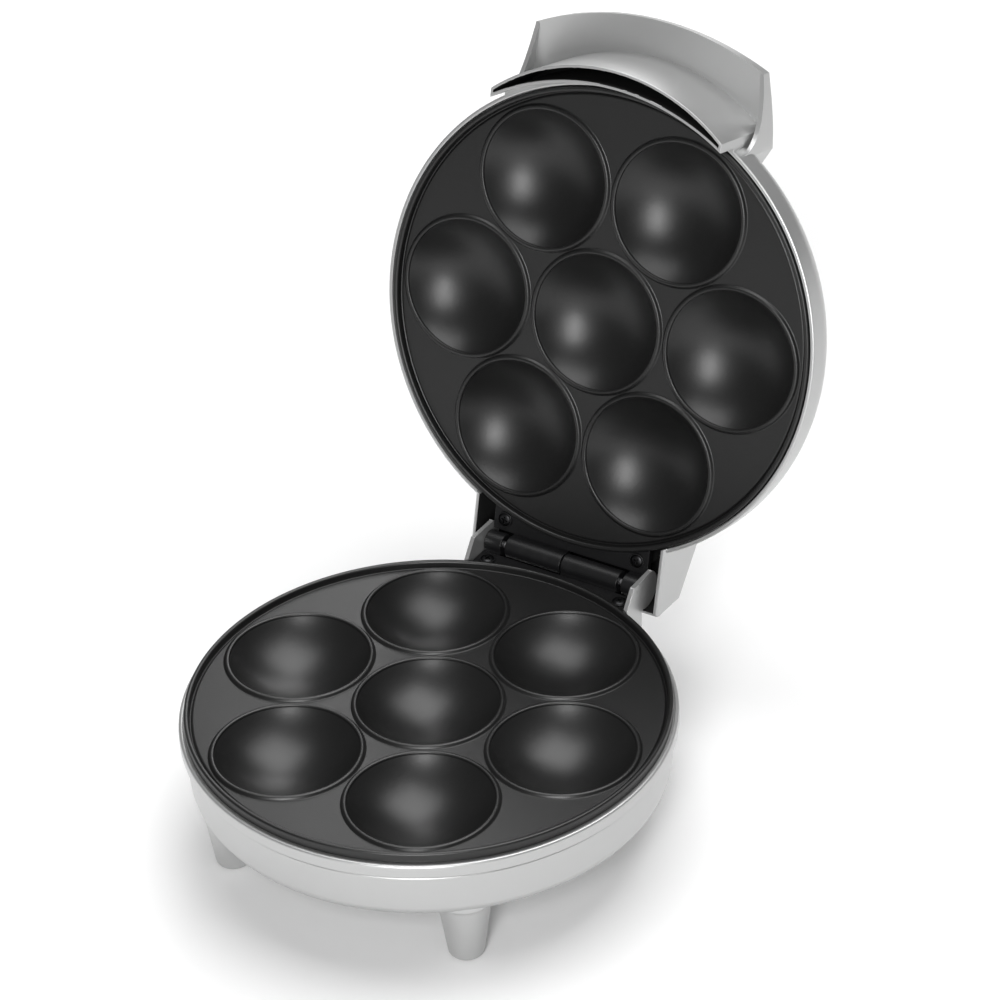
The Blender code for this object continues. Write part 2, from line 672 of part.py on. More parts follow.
def ear_outline():
    """Side view of an ear: a sloped front, a flat top and a nose round the pin."""
    start = math.acos(0.45)
    nose = arc((HINGE_Y, HINGE_Z), NOSE_RADIUS, start, -math.radians(112), 8)
    front = HINGE_Y - 0.0165
    behind = bump_back() - TOUCH
    return [(front, BRACKET_BOTTOM - 2 * WALL), (front, HINGE_Z - 0.0004), (front + 0.0042, EAR_TOP - 0.0014),
            (front + 0.0062, EAR_TOP), (nose[0][0], EAR_TOP)] + nose + \
           [(behind, HINGE_Z - NOSE_RADIUS), (behind, BRACKET_BOTTOM - 3 * WALL)]


def bracket_room(frame):
    """Cutter between the ears for the hinge bracket and the barrels."""
    low = BRACKET_BOTTOM - TOUCH
    front = BODY_RADIUS * 0.85
    behind = bump_back() + TOUCH
    far = BOX_OUTER_Y + CUT_MARGIN
    top = EAR_TOP + CUT_MARGIN
    outline = [(front, low), (behind, low), (behind, low - BUMP_DEPTH), (far, low - BUMP_DEPTH), (far, top),
               (front, top)]
    return prism("bracket_room", outline, -EAR_INNER_X, EAR_INNER_X, frame, along="X")


def make_base_housing(frame):
    """One-piece bowl with a rim, feet, hinge bump, ears, posts and vents."""
    profile = [(0.0, -RIM_DROP)] + body_profile()
    housing = turned("base_housing", profile, frame, SILVER)
    join(housing, rear_bump(frame))
    for side in (-1, 1):
        low, high = sorted((side * (EAR_INNER_X - TOUCH), side * EAR_OUTER_X))
        join(housing, prism(f"ear_{side:+d}", ear_outline(), low, high, frame, along="X"))
    add_feet(housing, frame)
    cut(housing, base_cavity(frame), bracket_room(frame))
    hollow_feet(housing, frame)
    hollow_top = BRACKET_BOTTOM - TOUCH - FLOOR
    hollow_x = BRACKET_SCREW_X - BOSS_RADIUS - TOUCH
    cut(housing, block("bump_hollow", (-hollow_x, BODY_RADIUS * 0.85, hollow_top - BUMP_DEPTH + 2 * FLOOR),
                       (hollow_x, bump_back() - FLOOR, hollow_top), frame))
    for side in (-1, 1):
        x = side * BRACKET_SCREW_X
        bottom = BRACKET_BOTTOM - BRACKET_SCREW_LENGTH + SCREW_HEAD_HEIGHT
        cut(housing, cylinder(f"bracket_boss_hole_{side:+d}", SCREW_SHANK_RADIUS + HOLE_CLEARANCE,
                              (x, BRACKET_SCREW_Y, bottom), (x, BRACKET_SCREW_Y, BRACKET_TOP), frame))
    post_top = PLATE_BOTTOM - PLATE_BOSS_LENGTH - TOUCH
    for i, angle in enumerate(POST_ANGLES):
        x, y = polar(POST_CIRCLE, angle)
        join(housing, cylinder(f"base_post_{i}", POST_RADIUS, (x, y, FLOOR_BOTTOM + FLOOR / 2),
                               (x, y, post_top), frame))
        cut(housing, cylinder(f"base_post_well_{i}", SCREW_HEAD_RADIUS + 2 * TOUCH,
                              (x, y, FLOOR_BOTTOM - CUT_MARGIN), (x, y, post_top - POST_SEAT), frame),
            cylinder(f"base_post_hole_{i}", SCREW_SHANK_RADIUS + HOLE_CLEARANCE,
                     (x, y, post_top - 2 * POST_SEAT), (x, y, post_top + CUT_MARGIN), frame, sides=12))
    slot_half = 0.020
    for i in range(-2, 3):
        y = 0.009 * i
        cut(housing, block(f"vent_{i:+d}", (-slot_half, y - 0.0015, FLOOR_BOTTOM - CUT_MARGIN),
                           (slot_half, y + 0.0015, FLOOR_TOP + CUT_MARGIN), frame))
    cut(housing, cylinder("gland_hole", GLAND_NECK + TOUCH, (0, BODY_INNER - 2 * CUT_MARGIN, GLAND_Z),
                          (0, BODY_RADIUS + CUT_MARGIN, GLAND_Z), frame))
    return housing


def make_foot_pads(frame):
    """Rubber pads pressed into the feet."""
    for name, (x, y) in foot_places().items():
        top = TABLE_Z + PAD_HEIGHT
        cylinder(f"foot_pad_{name}", PAD_RADIUS, (x, y, TABLE_Z), (x, y, top), frame, RUBBER)


def make_gland(frame):
    """Rubber bush where the mains lead would enter, bored through."""
    inside = BODY_INNER - 2 * TOUCH
    sag = BODY_RADIUS - math.sqrt(BODY_RADIUS ** 2 - GLAND_RADIUS ** 2)
    outside = BODY_RADIUS + BODY_TAPER + TOUCH
    low = inside - sag - GLAND_FLANGE
    profile = [(GLAND_BORE, outside + GLAND_FLANGE), (0.8 * GLAND_RADIUS, outside + GLAND_FLANGE),
               (GLAND_RADIUS, outside), (GLAND_NECK, outside), (GLAND_NECK, inside - sag),
               (0.85 * GLAND_RADIUS, inside - sag), (0.85 * GLAND_RADIUS, low), (GLAND_BORE, low)]
    gland = turned("cord_gland", profile, frame, RUBBER, closed=True, sides=24)
    gland.location = (0, 0, GLAND_Z)
    gland.rotation_euler = (-math.pi / 2, 0, 0)
    return gland


def make_electrics(frame):
    """Thermostat, thermal fuse, terminal block and the leads between them."""
    y = POST_CIRCLE
    can = 0.0080
    can_top = PLATE_BOTTOM - TOUCH
    can_bottom = can_top - can
    cylinder("thermostat", can, (0, y, can_bottom), (0, y, can_top), frame, STEEL)
    fuse_radius = 0.0020
    fuse_z = can_top - fuse_radius
    fuse_y = y + 0.0040
    cylinder("thermal_fuse", fuse_radius, (can + 0.003, fuse_y, fuse_z), (can + 0.015, fuse_y, fuse_z),
             frame, CERAMIC, sides=12)
    half = 0.0140
    block_top = FLOOR_TOP + TOUCH + 0.0080
    block("terminal_block", (-half, y - 0.005, FLOOR_TOP + TOUCH), (half, y + 0.006, block_top), frame,
          CERAMIC)
    lead = 0.0012
    rear = math.pi / 2
    for side, name in ((1, "lead_terminal_to_element"), (-1, "lead_thermostat_to_element")):
        angle = rear - side * ELEMENT_GAP_ANGLE
        reach = CUP_PITCH + ELEMENT_TAIL + TOUCH
        start = (*polar(reach, angle), ELEMENT_Z)
        bend = (*polar(reach + 0.004, angle), ELEMENT_Z)
        if side > 0:
            route = [start, bend, (half + 0.010, y + 0.004, block_top - 0.003)]
            route += [(half + run, y + 0.002, block_top - 0.004) for run in (0.004, TOUCH)]
        else:
            route = [start, bend, (-can - 0.012, y + 0.005, can_bottom - 0.001)]
            route += [(-can - run, y + 0.001, can_bottom + 0.002) for run in (0.004, TOUCH)]
        tube(name, smooth_path(route, 5), lead, frame, SLEEVE, resolution=1)
    drop = [(0.003, y, can_bottom - TOUCH), (0.0034, y + 0.001, (can_bottom + block_top) / 2),
            (0.003, y, block_top + TOUCH)]
    tube("lead_terminal_to_thermostat", smooth_path(drop, 4), lead, frame, SLEEVE, resolution=1)


# ---------------------------------------------------------------- lid
def ellipse(flat, top, radius, low, steps):
    """Quarter ellipse from the flat top down to the straight wall."""
    points = []
    for i in range(steps + 1):
        a = math.pi / 2 * (1 - i / steps)
        points.append((flat + (radius - flat) * math.cos(a), low + (top - low) * math.sin(a)))
    return points


def lid_dome(frame):
    """Solid of the round lid, before it is hollowed."""
    wall_top = LID_RIM_Z + LID_WALL_HEIGHT
    edge = 0.0006
    profile = [(0.0, LID_TOP + LID_DOME)]
    profile += ellipse(LID_FLAT_RADIUS, LID_TOP, HOUSING_RADIUS, wall_top, 7)
    profile += [(HOUSING_RADIUS, LID_RIM_Z + 3 * edge), (HOUSING_RADIUS - edge, LID_RIM_Z), (0.0, LID_RIM_Z)]
    return turned("lid_housing", profile, frame, SILVER)


def lid_cavity(frame):
    """Cutter for the inside of the lid, with the ledge behind its plate."""
    wall_top = LID_RIM_Z + LID_WALL_HEIGHT
    ledge = CLOSED_GAP - LEDGE_TOP
    ledge_inner = RIM_INNER - LEDGE_WIDTH
    profile = [(0.0, LID_INNER_TOP + LID_DOME)]
    profile += ellipse(LID_FLAT_RADIUS, LID_INNER_TOP, RIM_INNER, wall_top, 7)
    profile += [(RIM_INNER, ledge + 2 * WALL), (ledge_inner, ledge + WALL), (ledge_inner, ledge),
                (RIM_INNER, ledge), (RIM_INNER, -CUT_MARGIN), (0.0, -CUT_MARGIN)]
    return turned("lid_cavity", profile, frame)


def handle_plan(half_tip, half_root, reach):
    """Top view of the handle: a round tip between two sides that widen to the lid."""
    edge = math.asin(half_tip / reach)
    down = -math.pi / 2
    points = arc((0, 0), reach, down - edge, down + edge, 16)
    root_y = -LID_FLAT_RADIUS
    return points + [(half_root, -POST_CIRCLE), (half_root * 0.8, root_y), (-half_root * 0.8, root_y),
                     (-half_root, -POST_CIRCLE)]


def handle_side():
    """Side view of the handle: a sloped top and a lower edge that sweeps up to the tip."""
    tip = -HANDLE_TIP_RADIUS - CUT_MARGIN
    root = -LID_FLAT_RADIUS
    corner = -math.sqrt(HANDLE_TIP_RADIUS ** 2 - HANDLE_HALF_WIDTH ** 2)
    foot = -math.sqrt(HOUSING_RADIUS ** 2 - (HANDLE_HALF_WIDTH + HANDLE_FLARE) ** 2)
    rise = HANDLE_TIP_BOTTOM - LID_RIM_Z
    sweep = []
    steps = 8
    for i in range(1, steps + 1):
        a = math.pi / 2 * i / steps
        sweep.append((corner + (foot - corner) * math.sin(a) ** 0.85,
                      LID_RIM_Z + 2 * TOUCH + rise * math.cos(a) ** 0.75))
    top_slope = (LID_TOP - HANDLE_TIP_TOP) / (root - tip)
    shoulder = -POST_CIRCLE
    return [(root, LID_TOP), (shoulder, LID_TOP - 0.35 * top_slope * (root - shoulder)),
            (tip, HANDLE_TIP_TOP), (tip, HANDLE_TIP_BOTTOM), (corner, HANDLE_TIP_BOTTOM)] + sweep + \
           [(root, LID_RIM_Z + 2 * TOUCH)]


def recess_side():
    """Side view of the finger recess under the handle."""
    tip = -HANDLE_TIP_RADIUS
    slope = CREASE_RISE / CREASE_INSET
    far = tip - 4 * CUT_MARGIN
    near = -LID_FLAT_RADIUS - 0.01
    return [(far, HANDLE_TIP_BOTTOM - slope * (tip - far)), (CREASE_Y, CREASE_Z), (near, CREASE_Z),
            (near, -SKIRT_DROP), (far, -SKIRT_DROP)]


def make_handle(frame):
    """Hood-shaped handle: a thin top, two side walls and room for fingers below."""
    root_half = HANDLE_HALF_WIDTH + HANDLE_FLARE
    handle = prism("handle_hood", handle_plan(HANDLE_HALF_WIDTH, root_half, HANDLE_TIP_RADIUS),
                   -SKIRT_DROP, LID_TOP + CUT_MARGIN, frame)
    side = prism("handle_side", handle_side(), -BOX_HALF_WIDTH * 2, BOX_HALF_WIDTH * 2, frame, along="X")
    combine(handle, side, "INTERSECT")
    inner_tip = HANDLE_HALF_WIDTH - HANDLE_WALL
    inner_root = root_half - HANDLE_WALL
    tip_y = -math.sqrt(HANDLE_TIP_RADIUS ** 2 - inner_tip ** 2)
    right = [(inner_tip, -HANDLE_TIP_RADIUS * 1.2), (inner_tip, tip_y), (inner_root, -POST_CIRCLE),
             (inner_root * 0.8, -LID_FLAT_RADIUS - 0.005)]
    left = [(-x, y) for x, y in reversed(right)]
    recess = prism("finger_recess", right + left, -SKIRT_DROP - CUT_MARGIN, LID_TOP + 2 * CUT_MARGIN, frame)
    recess_limit = prism("finger_recess_side", recess_side(), -BOX_HALF_WIDTH * 2, BOX_HALF_WIDTH * 2, frame,
                         along="X")
    combine(recess, recess_limit, "INTERSECT")
    return cut(handle, recess)


def crescent(outer, inner, half, back=None):
    """Plan of the duct at the front of the lid, between a bowed and a round wall."""
    centre = (0, -SKIRT_BOW)
    edge = math.asin(half / outer)
    down = -math.pi / 2
    points = arc(centre, outer, down - edge, down + edge, 14)
    if back is not None:
        return points + [(half, back), (-half, back)]
    inner_edge = math.asin(half / inner)
    return points + arc((0, 0), inner, down + inner_edge, down - inner_edge, 14)


def make_lid_housing(frame):
    """One-piece lid: dome, handle hood, front duct, hinge box, posts and lamp holes."""
    housing = lid_dome(frame)
    join(housing, make_handle(frame))
    half = HANDLE_HALF_WIDTH + 0.0004
    back = -LID_FLAT_RADIUS - 0.010
    join(housing, prism("front_duct", crescent(SKIRT_OUTER, SKIRT_INNER, half, back),
                        -SKIRT_DROP, CREASE_Z + 0.0008, frame))
    join(housing, prism("hinge_box", box_outline(0.0), -BOX_HALF_WIDTH, BOX_HALF_WIDTH, frame, along="X"))
    cut(housing, lid_cavity(frame))
    cut(housing, cylinder("base_rim_clearance", SKIRT_INNER, (0, 0, -SKIRT_DROP - CUT_MARGIN),
                          (0, 0, LID_RIM_Z - TOUCH / 3), frame, sides=ROUND_SIDES))
    inner_half = BOX_HALF_WIDTH - WALL
    cut(housing, prism("hinge_box_cavity", box_outline(WALL), -inner_half, inner_half, frame, along="X"))
    cut(housing, prism("front_duct_cavity", crescent(SKIRT_OUTER - SKIRT_WALL, SKIRT_INNER + SKIRT_WALL,
                                                     half - SKIRT_WALL),
                       -SKIRT_DROP - CUT_MARGIN, CREASE_Z - 0.003, frame))
    for side in (-1, 1):
        x = side * BRACKET_SCREW_X
        low = CLOSED_GAP - BRACKET_BOTTOM + TOUCH
        top = box_roof(BRACKET_SCREW_Y + BOSS_RADIUS) - WALL / 2
        join(housing, cylinder(f"lid_boss_{side:+d}", BOSS_RADIUS, (x, BRACKET_SCREW_Y, low),
                               (x, BRACKET_SCREW_Y, top), frame))
        hole_top = low + BRACKET_SCREW_LENGTH - SCREW_HEAD_HEIGHT
        cut(housing, cylinder(f"lid_boss_hole_{side:+d}", SCREW_SHANK_RADIUS + HOLE_CLEARANCE,
                              (x, BRACKET_SCREW_Y, low - CUT_MARGIN), (x, BRACKET_SCREW_Y, hole_top), frame,
                              sides=12))
        lamp_x = side * LAMP_SPACING / 2
        cut(housing, cylinder(f"lamp_hole_{side:+d}", LAMP_RADIUS + TOUCH,
                              (lamp_x, LAMP_Y, LAMP_SEAT_Z - TOUCH), (lamp_x, LAMP_Y, LID_TOP + CUT_MARGIN),
                              frame))
        post_x = side * LAMP_SPACING
        join(housing, cylinder(f"lamp_post_{side:+d}", LAMP_POST, (post_x, LAMP_Y, LAMP_SEAT_Z + TOUCH),
                               (post_x, LAMP_Y, LAMP_ROOF + WALL / 2), frame))
    for i, angle in enumerate(POST_ANGLES):
        x, y = polar(POST_CIRCLE, angle)
        low = CLOSED_GAP - PLATE_BOTTOM + PLATE_BOSS_LENGTH + TOUCH
        join(housing, cylinder(f"lid_post_{i}", BOSS_RADIUS, (x, y, low), (x, y, LAMP_ROOF + TOUCH / 2),
                               frame))
    return housing


def box_roof(y):
    """Height of the hinge box's outer roof at a distance from the middle."""
    knee = BOX_OUTER_Y - BOX_SLOPE_RUN
    slope = BOX_SLOPE_DROP / (BOX_SLOPE_RUN - 0.003)
    return LID_TOP - 0.0004 - max(0.0, y - knee) * slope


def box_outline(inset):
    """Side view of the hinge box, or of its inside when inset by a wall."""
    knee = BOX_OUTER_Y - BOX_SLOPE_RUN
    back = BOX_OUTER_Y - 0.003
    bottom = BOX_BOTTOM - (CUT_MARGIN if inset else 0.0)
    chamfer = 0.0 if inset else 0.0010
    front = BODY_RADIUS * 0.85
    return [(front, LID_TOP - 0.0004 - inset), (knee - 0.4 * inset, LID_TOP - 0.0004 - inset),
            (back - inset, box_roof(back) - 0.6 * inset), (BOX_OUTER_Y - inset, BOX_BOTTOM + 0.0025),
            (BOX_OUTER_Y - inset - chamfer, bottom), (front, bottom)]


def make_lamps(frame):
    """Two lamp lenses in the lid and the board that carries them."""
    for name, side in LAMP_NAMES.items():
        finish = RED_LENS if side < 0 else GREEN_LENS
        x = side * LAMP_SPACING / 2
        profile = [(0.0, LAMP_TOP), (0.7 * LAMP_RADIUS, LAMP_TOP - 0.0003), (LAMP_RADIUS, LAMP_TOP - 0.0010),
                   (LAMP_RADIUS, LAMP_SEAT_Z), (0.0, LAMP_SEAT_Z)]
        lens = turned(name, profile, frame, finish, sides=SMALL_SIDES)
        lens.location = (x, LAMP_Y, 0)
    half = LAMP_SPACING + LAMP_POST
    top = LAMP_SEAT_Z - TOUCH
    block("lamp_board", (-half, LAMP_Y - 0.004, top - LAMP_BOARD), (half, LAMP_Y + 0.004, top), frame,
          CERAMIC)


# ---------------------------------------------------------------- assembly
def make_base(frame):
    """All pieces that stand still."""
    make_base_housing(frame)
    make_foot_pads(frame)
    plate = make_plate(frame)
    element = make_element(frame)
    shield = make_shield(frame)
    bracket = make_bracket(frame)
    for side, name in ((-1, "left"), (1, "right")):
        make_screw(f"base_bracket_screw_{name}", frame,
                   (side * BRACKET_SCREW_X, BRACKET_SCREW_Y, SCREW_SEAT_Z + TOUCH),
                   BRACKET_SCREW_LENGTH - SCREW_HEAD_HEIGHT)
    post_top = PLATE_BOTTOM - PLATE_BOSS_LENGTH - TOUCH
    seat = post_top - POST_SEAT
    for i, angle in enumerate(POST_ANGLES):
        x, y = polar(POST_CIRCLE, angle)
        make_screw(f"base_plate_screw_{i + 1}", frame, (x, y, seat - TOUCH),
                   POST_SEAT + PLATE_BOSS_LENGTH - 2 * TOUCH, upward=True, recessed=False)
    for i, angle in enumerate(SHIELD_SCREW_ANGLES):
        x, y = polar(SHIELD_SCREW_CIRCLE, angle)
        make_screw(f"base_shield_screw_{i + 1}", frame, (x, y, SHIELD_BOTTOM - TOUCH),
                   SHIELD_THICKNESS + SHIELD_BITE, upward=True, recessed=False)
    cylinder("hinge_pin", PIN_RADIUS, (-HINGE_HALF_LENGTH, HINGE_Y, HINGE_Z),
             (HINGE_HALF_LENGTH, HINGE_Y, HINGE_Z), frame, STEEL)
    make_gland(frame)
    make_electrics(frame)
    return plate, element, shield, bracket


def make_lid(frame, mirror_frame, shared):
    """All pieces that swing with the lid; shared ones are turned copies of the base's."""
    plate, element, shield, bracket = shared
    make_lid_housing(frame)
    repeated("lid_plate", plate, mirror_frame, NON_STICK)
    repeated("lid_heating_element", element, mirror_frame, DARK_STEEL)
    repeated("lid_heat_shield", shield, mirror_frame, SHEET)
    repeated("lid_hinge_bracket", bracket, mirror_frame, BLACK)
    for side, name in ((1, "left"), (-1, "right")):
        make_screw(f"lid_bracket_screw_{name}", mirror_frame,
                   (side * BRACKET_SCREW_X, BRACKET_SCREW_Y, SCREW_SEAT_Z + TOUCH),
                   BRACKET_SCREW_LENGTH - SCREW_HEAD_HEIGHT)
    for i, angle in enumerate(SHIELD_SCREW_ANGLES):
        x, y = polar(SHIELD_SCREW_CIRCLE, angle)
        make_screw(f"lid_shield_screw_{i + 1}", mirror_frame, (x, y, SHIELD_BOTTOM - TOUCH),
                   SHIELD_THICKNESS + SHIELD_BITE, upward=True, recessed=False)
    make_lamps(frame)


def set_down(root):
    """Move the model so that its origin lies under the middle of its box."""
    bpy.context.view_layer.update()
    depsgraph = bpy.context.evaluated_depsgraph_get()
    corners = []
    for item in parts.objects:
        if item.type == "MESH":
            seen = item.evaluated_get(depsgraph)
            corners += [seen.matrix_world @ vertex.co for vertex in seen.data.vertices]
    middle = (min(c.y for c in corners) + max(c.y for c in corners)) / 2
    root.location = (0, -middle, -min(c.z for c in corners))


def main():
    """Build the whole object."""
    root = new_frame("donut_maker_frame")
    hinge = new_frame("lid_hinge_axis", root, (0, HINGE_Y, HINGE_Z), (-OPEN_ANGLE, 0, 0))
    lid = new_frame("lid_frame", hinge, (0, -HINGE_Y, -HINGE_Z))
    mirrored = new_frame("lid_mirror_frame", hinge, (0, -HINGE_Y, HINGE_Z), (0, math.pi, 0))
    shared = make_base(root)
    make_lid(lid, mirrored, shared)
    set_down(root)


main()
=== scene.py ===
"""Donut maker standing open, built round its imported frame.

Every piece is modelled in the position it has with the lid closed: the rims of the
base plate's cups lie at Z = 0, the hinge runs along X behind them and the handle is
in front. The Layout then carries it to the base, to the open lid, or, turned over,
to the lid's lower face. Lengths are metres, and fields and outlines that go through
mm() or are multiplied by MM where they are used are millimetres.
"""

import json
import logging
import math
from dataclasses import dataclass, field
from enum import Enum
from typing import Any, Sequence

import bpy
from mathutils import Matrix, Vector


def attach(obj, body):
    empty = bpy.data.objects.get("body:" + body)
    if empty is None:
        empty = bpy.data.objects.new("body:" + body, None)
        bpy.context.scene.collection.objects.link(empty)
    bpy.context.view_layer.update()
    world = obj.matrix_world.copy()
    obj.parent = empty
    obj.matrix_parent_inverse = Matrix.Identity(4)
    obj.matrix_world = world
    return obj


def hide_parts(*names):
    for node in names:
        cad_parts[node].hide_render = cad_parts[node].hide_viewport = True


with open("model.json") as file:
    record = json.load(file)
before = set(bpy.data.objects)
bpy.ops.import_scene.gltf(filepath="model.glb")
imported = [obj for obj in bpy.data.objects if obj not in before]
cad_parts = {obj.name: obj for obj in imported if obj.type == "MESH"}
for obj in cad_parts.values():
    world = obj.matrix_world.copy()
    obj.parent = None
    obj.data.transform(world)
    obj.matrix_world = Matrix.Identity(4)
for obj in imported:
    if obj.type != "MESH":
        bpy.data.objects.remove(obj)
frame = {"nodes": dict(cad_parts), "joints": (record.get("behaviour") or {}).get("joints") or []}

LOG = logging.getLogger("donut_maker")
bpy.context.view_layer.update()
MM = 0.001
Point = tuple[float, float, float]
Flat = tuple[float, float]
Colour = tuple[float, float, float, float]


# ------------------------------------------------------------------ shader maths
class Wire:
    """A shader socket that can be used in sums.

    Args:
        graph: The material the socket belongs to.
        socket: The output socket.
    """

    def __init__(self, graph: "Graph", socket: bpy.types.NodeSocket) -> None:
        """Keep the graph and the socket."""
        self.graph = graph
        self.socket = socket

    def _sum(self, kind: str, first: Any, second: Any) -> "Wire":
        """Return a Math node of two values."""
        return self.graph.node("ShaderNodeMath", {"operation": kind}, (first, second))

    def __add__(self, other: Any) -> "Wire":
        """Return self + other."""
        return self._sum("ADD", self, other)

    def __radd__(self, other: Any) -> "Wire":
        """Return other + self."""
        return self._sum("ADD", other, self)

    def __sub__(self, other: Any) -> "Wire":
        """Return self - other."""
        return self._sum("SUBTRACT", self, other)

    def __rsub__(self, other: Any) -> "Wire":
        """Return other - self."""
        return self._sum("SUBTRACT", other, self)

    def __mul__(self, other: Any) -> "Wire":
        """Return self * other."""
        return self._sum("MULTIPLY", self, other)

    def __rmul__(self, other: Any) -> "Wire":
        """Return other * self."""
        return self._sum("MULTIPLY", other, self)

    def clamp(self, low: float, high: float) -> "Wire":
        """Turn the value into a smooth step.

        Args:
            low: Value at which the step starts from 0.
            high: Value at which it reaches 1.

        Returns:
            The step, from 0 to 1.
        """
        settings = {"interpolation_type": "SMOOTHSTEP"}
        return self.graph.node("ShaderNodeMapRange", settings, (self, low, high, 0.0, 1.0))


class Graph:
    """The node tree of one finish.

    Args:
        name: Name of the material.
    """

    def __init__(self, name: str) -> None:
        """Start a material with the usual shader."""
        self.material = bpy.data.materials.new(name)
        self.material.use_nodes = True
        self.tree = self.material.node_tree
        self.shader = self.tree.nodes["Principled BSDF"]

    def node(self, kind: str, settings: dict[str, Any], values: Sequence[Any] | dict[str, Any],
             output: str | int = 0) -> Wire:
        """Add one node.

        Args:
            kind: The node's type name.
            settings: Properties that are set first, such as a Math node's operation.
            values: Values or links for its sockets, by place or by name.
            output: The output to return.

        Returns:
            The chosen output.
        """
        item = self.tree.nodes.new(kind)
        for key, value in settings.items():
            setattr(item, key, value)
        pairs = values.items() if isinstance(values, dict) else enumerate(values)
        for key, value in pairs:
            if value is None:
                continue
            if isinstance(value, Wire):
                self.tree.links.new(value.socket, item.inputs[key])
            else:
                item.inputs[key].default_value = value
        return Wire(self, item.outputs[output])

    def place(self) -> Wire:
        """Return the point on the piece, in metres."""
        return self.node("ShaderNodeTexCoord", {}, {}, "Object")

    def noise(self, scale: float, detail: float = 2.0, rough: float = 0.5) -> Wire:
        """Return a noise value from 0 to 1.

        Args:
            scale: Cycles per metre.
            detail: Octaves.
            rough: How strong the finer octaves are.

        Returns:
            The noise.
        """
        values = {"Vector": self.place(), "Scale": scale, "Detail": detail, "Roughness": rough}
        return self.node("ShaderNodeTexNoise", {}, values)

    def cells(self, scale: float) -> Wire:
        """Return the distance to the nearest of many scattered points."""
        return self.node("ShaderNodeTexVoronoi", {}, {"Vector": self.place(), "Scale": scale}, "Distance")

    def blend(self, factor: Wire | float, first: Any, second: Any) -> Wire:
        """Mix two colours.

        Args:
            factor: Share of the second colour, from 0 to 1.
            first: Colour or link.
            second: Colour or link.

        Returns:
            The mixed colour.
        """
        settings = {"data_type": "RGBA", "clamp_factor": True}
        return self.node("ShaderNodeMix", settings, {0: factor, 6: first, 7: second}, 2)

    def bump(self, height: Wire, strength: float, depth: float) -> None:
        """Roughen the surface.

        Args:
            height: Height from 0 to 1.
            strength: How much of it shows.
            depth: Height of 1, in metres.
        """
        values = {"Height": height, "Strength": strength, "Distance": depth}
        self.feed("Normal", self.node("ShaderNodeBump", {}, values, "Normal"))

    def feed(self, socket: str, value: Any) -> None:
        """Set or link one of the shader's sockets.

        Args:
            socket: The socket's name.
            value: A number, a colour or a link.
        """
        if isinstance(value, Wire):
            self.tree.links.new(value.socket, self.shader.inputs[socket])
        else:
            self.shader.inputs[socket].default_value = value


def shade(level: float, tint: Point = (1.0, 1.0, 1.0)) -> Colour:
    """Return a grey of a level, slightly tinted."""
    return (level * tint[0], level * tint[1], level * tint[2], 1.0)


def scaled(colour: Point, times: float, lift: float = 0.0) -> Colour:
    """Return a colour made darker or paler."""
    return (colour[0] * times + lift, colour[1] * times + lift, colour[2] * times + lift, 1.0)


# ------------------------------------------------------------------ finishes
@dataclass(frozen=True)
class SilverShell:
    """Silver-coloured moulding with fine metal flake and a faint orange peel."""

    name: str = "silver_shell"
    level: float = 0.51
    metal: float = 0.66
    gloss: float = 0.35

    def make(self) -> bpy.types.Material:
        """Mix the silver coating.

        Returns:
            The material.
        """
        g = Graph(self.name)
        sparkle = 1.0 - g.cells(2600.0).clamp(0.05, 0.5)
        cloud = g.noise(9.0, 2.0)
        handling = g.noise(24.0, 3.0, 0.5).clamp(0.45, 0.85)
        cool = shade(self.level * 0.985, (0.995, 1, 1))
        warm = shade(self.level * 1.015, (0.995, 1, 0.995))
        base = g.blend(cloud, cool, warm)
        g.feed("Base Color", g.blend(sparkle * 0.18, base, shade(self.level * 1.2)))
        g.feed("Roughness", self.gloss + handling * 0.02 + sparkle * 0.04)
        g.feed("Metallic", self.metal)
        g.feed("Coat Weight", 0.25)
        g.feed("Coat Roughness", 0.12)
        g.bump(g.noise(1400.0, 2.0), 0.05, 0.00006)
        return g.material


@dataclass(frozen=True)
class NonStick:
    """Black non-stick coating: satin, with fine pale specks and light rub marks."""

    name: str = "non_stick_coating"
    level: float = 0.006
    gloss: float = 0.33

    def make(self) -> bpy.types.Material:
        """Mix the non-stick coating.

        Returns:
            The material.
        """
        g = Graph(self.name)
        grain = g.noise(2400.0, 2.0, 0.6)
        speck = 1.0 - g.cells(1500.0).clamp(0.04, 0.16)
        rub = g.noise(38.0, 6.0, 0.65).clamp(0.48, 0.80)
        base = g.blend(grain, shade(self.level * 0.75), shade(self.level * 1.3))
        rubbed = g.blend(rub * 0.35, base, shade(self.level * 2.0))
        g.feed("Base Color", g.blend(speck * 0.30, rubbed, shade(0.08)))
        g.feed("Roughness", self.gloss + grain * 0.10 - rub * 0.05)
        g.feed("Metallic", 0.0)
        g.feed("Specular IOR Level", 0.58)
        g.bump(grain * 0.65 + g.noise(620.0, 3.0) * 0.35, 0.30, 0.00014)
        return g.material


@dataclass(frozen=True)
class Moulding:
    """Satin moulded plastic."""

    name: str = "black_moulding"
    colour: Point = (0.007, 0.007, 0.0075)
    gloss: float = 0.32

    def make(self) -> bpy.types.Material:
        """Mix the moulded plastic.

        Returns:
            The material.
        """
        g = Graph(self.name)
        grain = g.noise(1500.0, 3.0, 0.6)
        worn = g.noise(120.0, 5.0, 0.7).clamp(0.5, 0.8)
        base = (*self.colour, 1.0)
        pale = scaled(self.colour, 1.6, 0.004)
        g.feed("Base Color", g.blend(worn * 0.4, base, pale))
        g.feed("Specular IOR Level", 0.40)
        g.feed("Roughness", self.gloss + grain * 0.12 + worn * 0.06)
        g.bump(grain, 0.22, 0.0001)
        return g.material


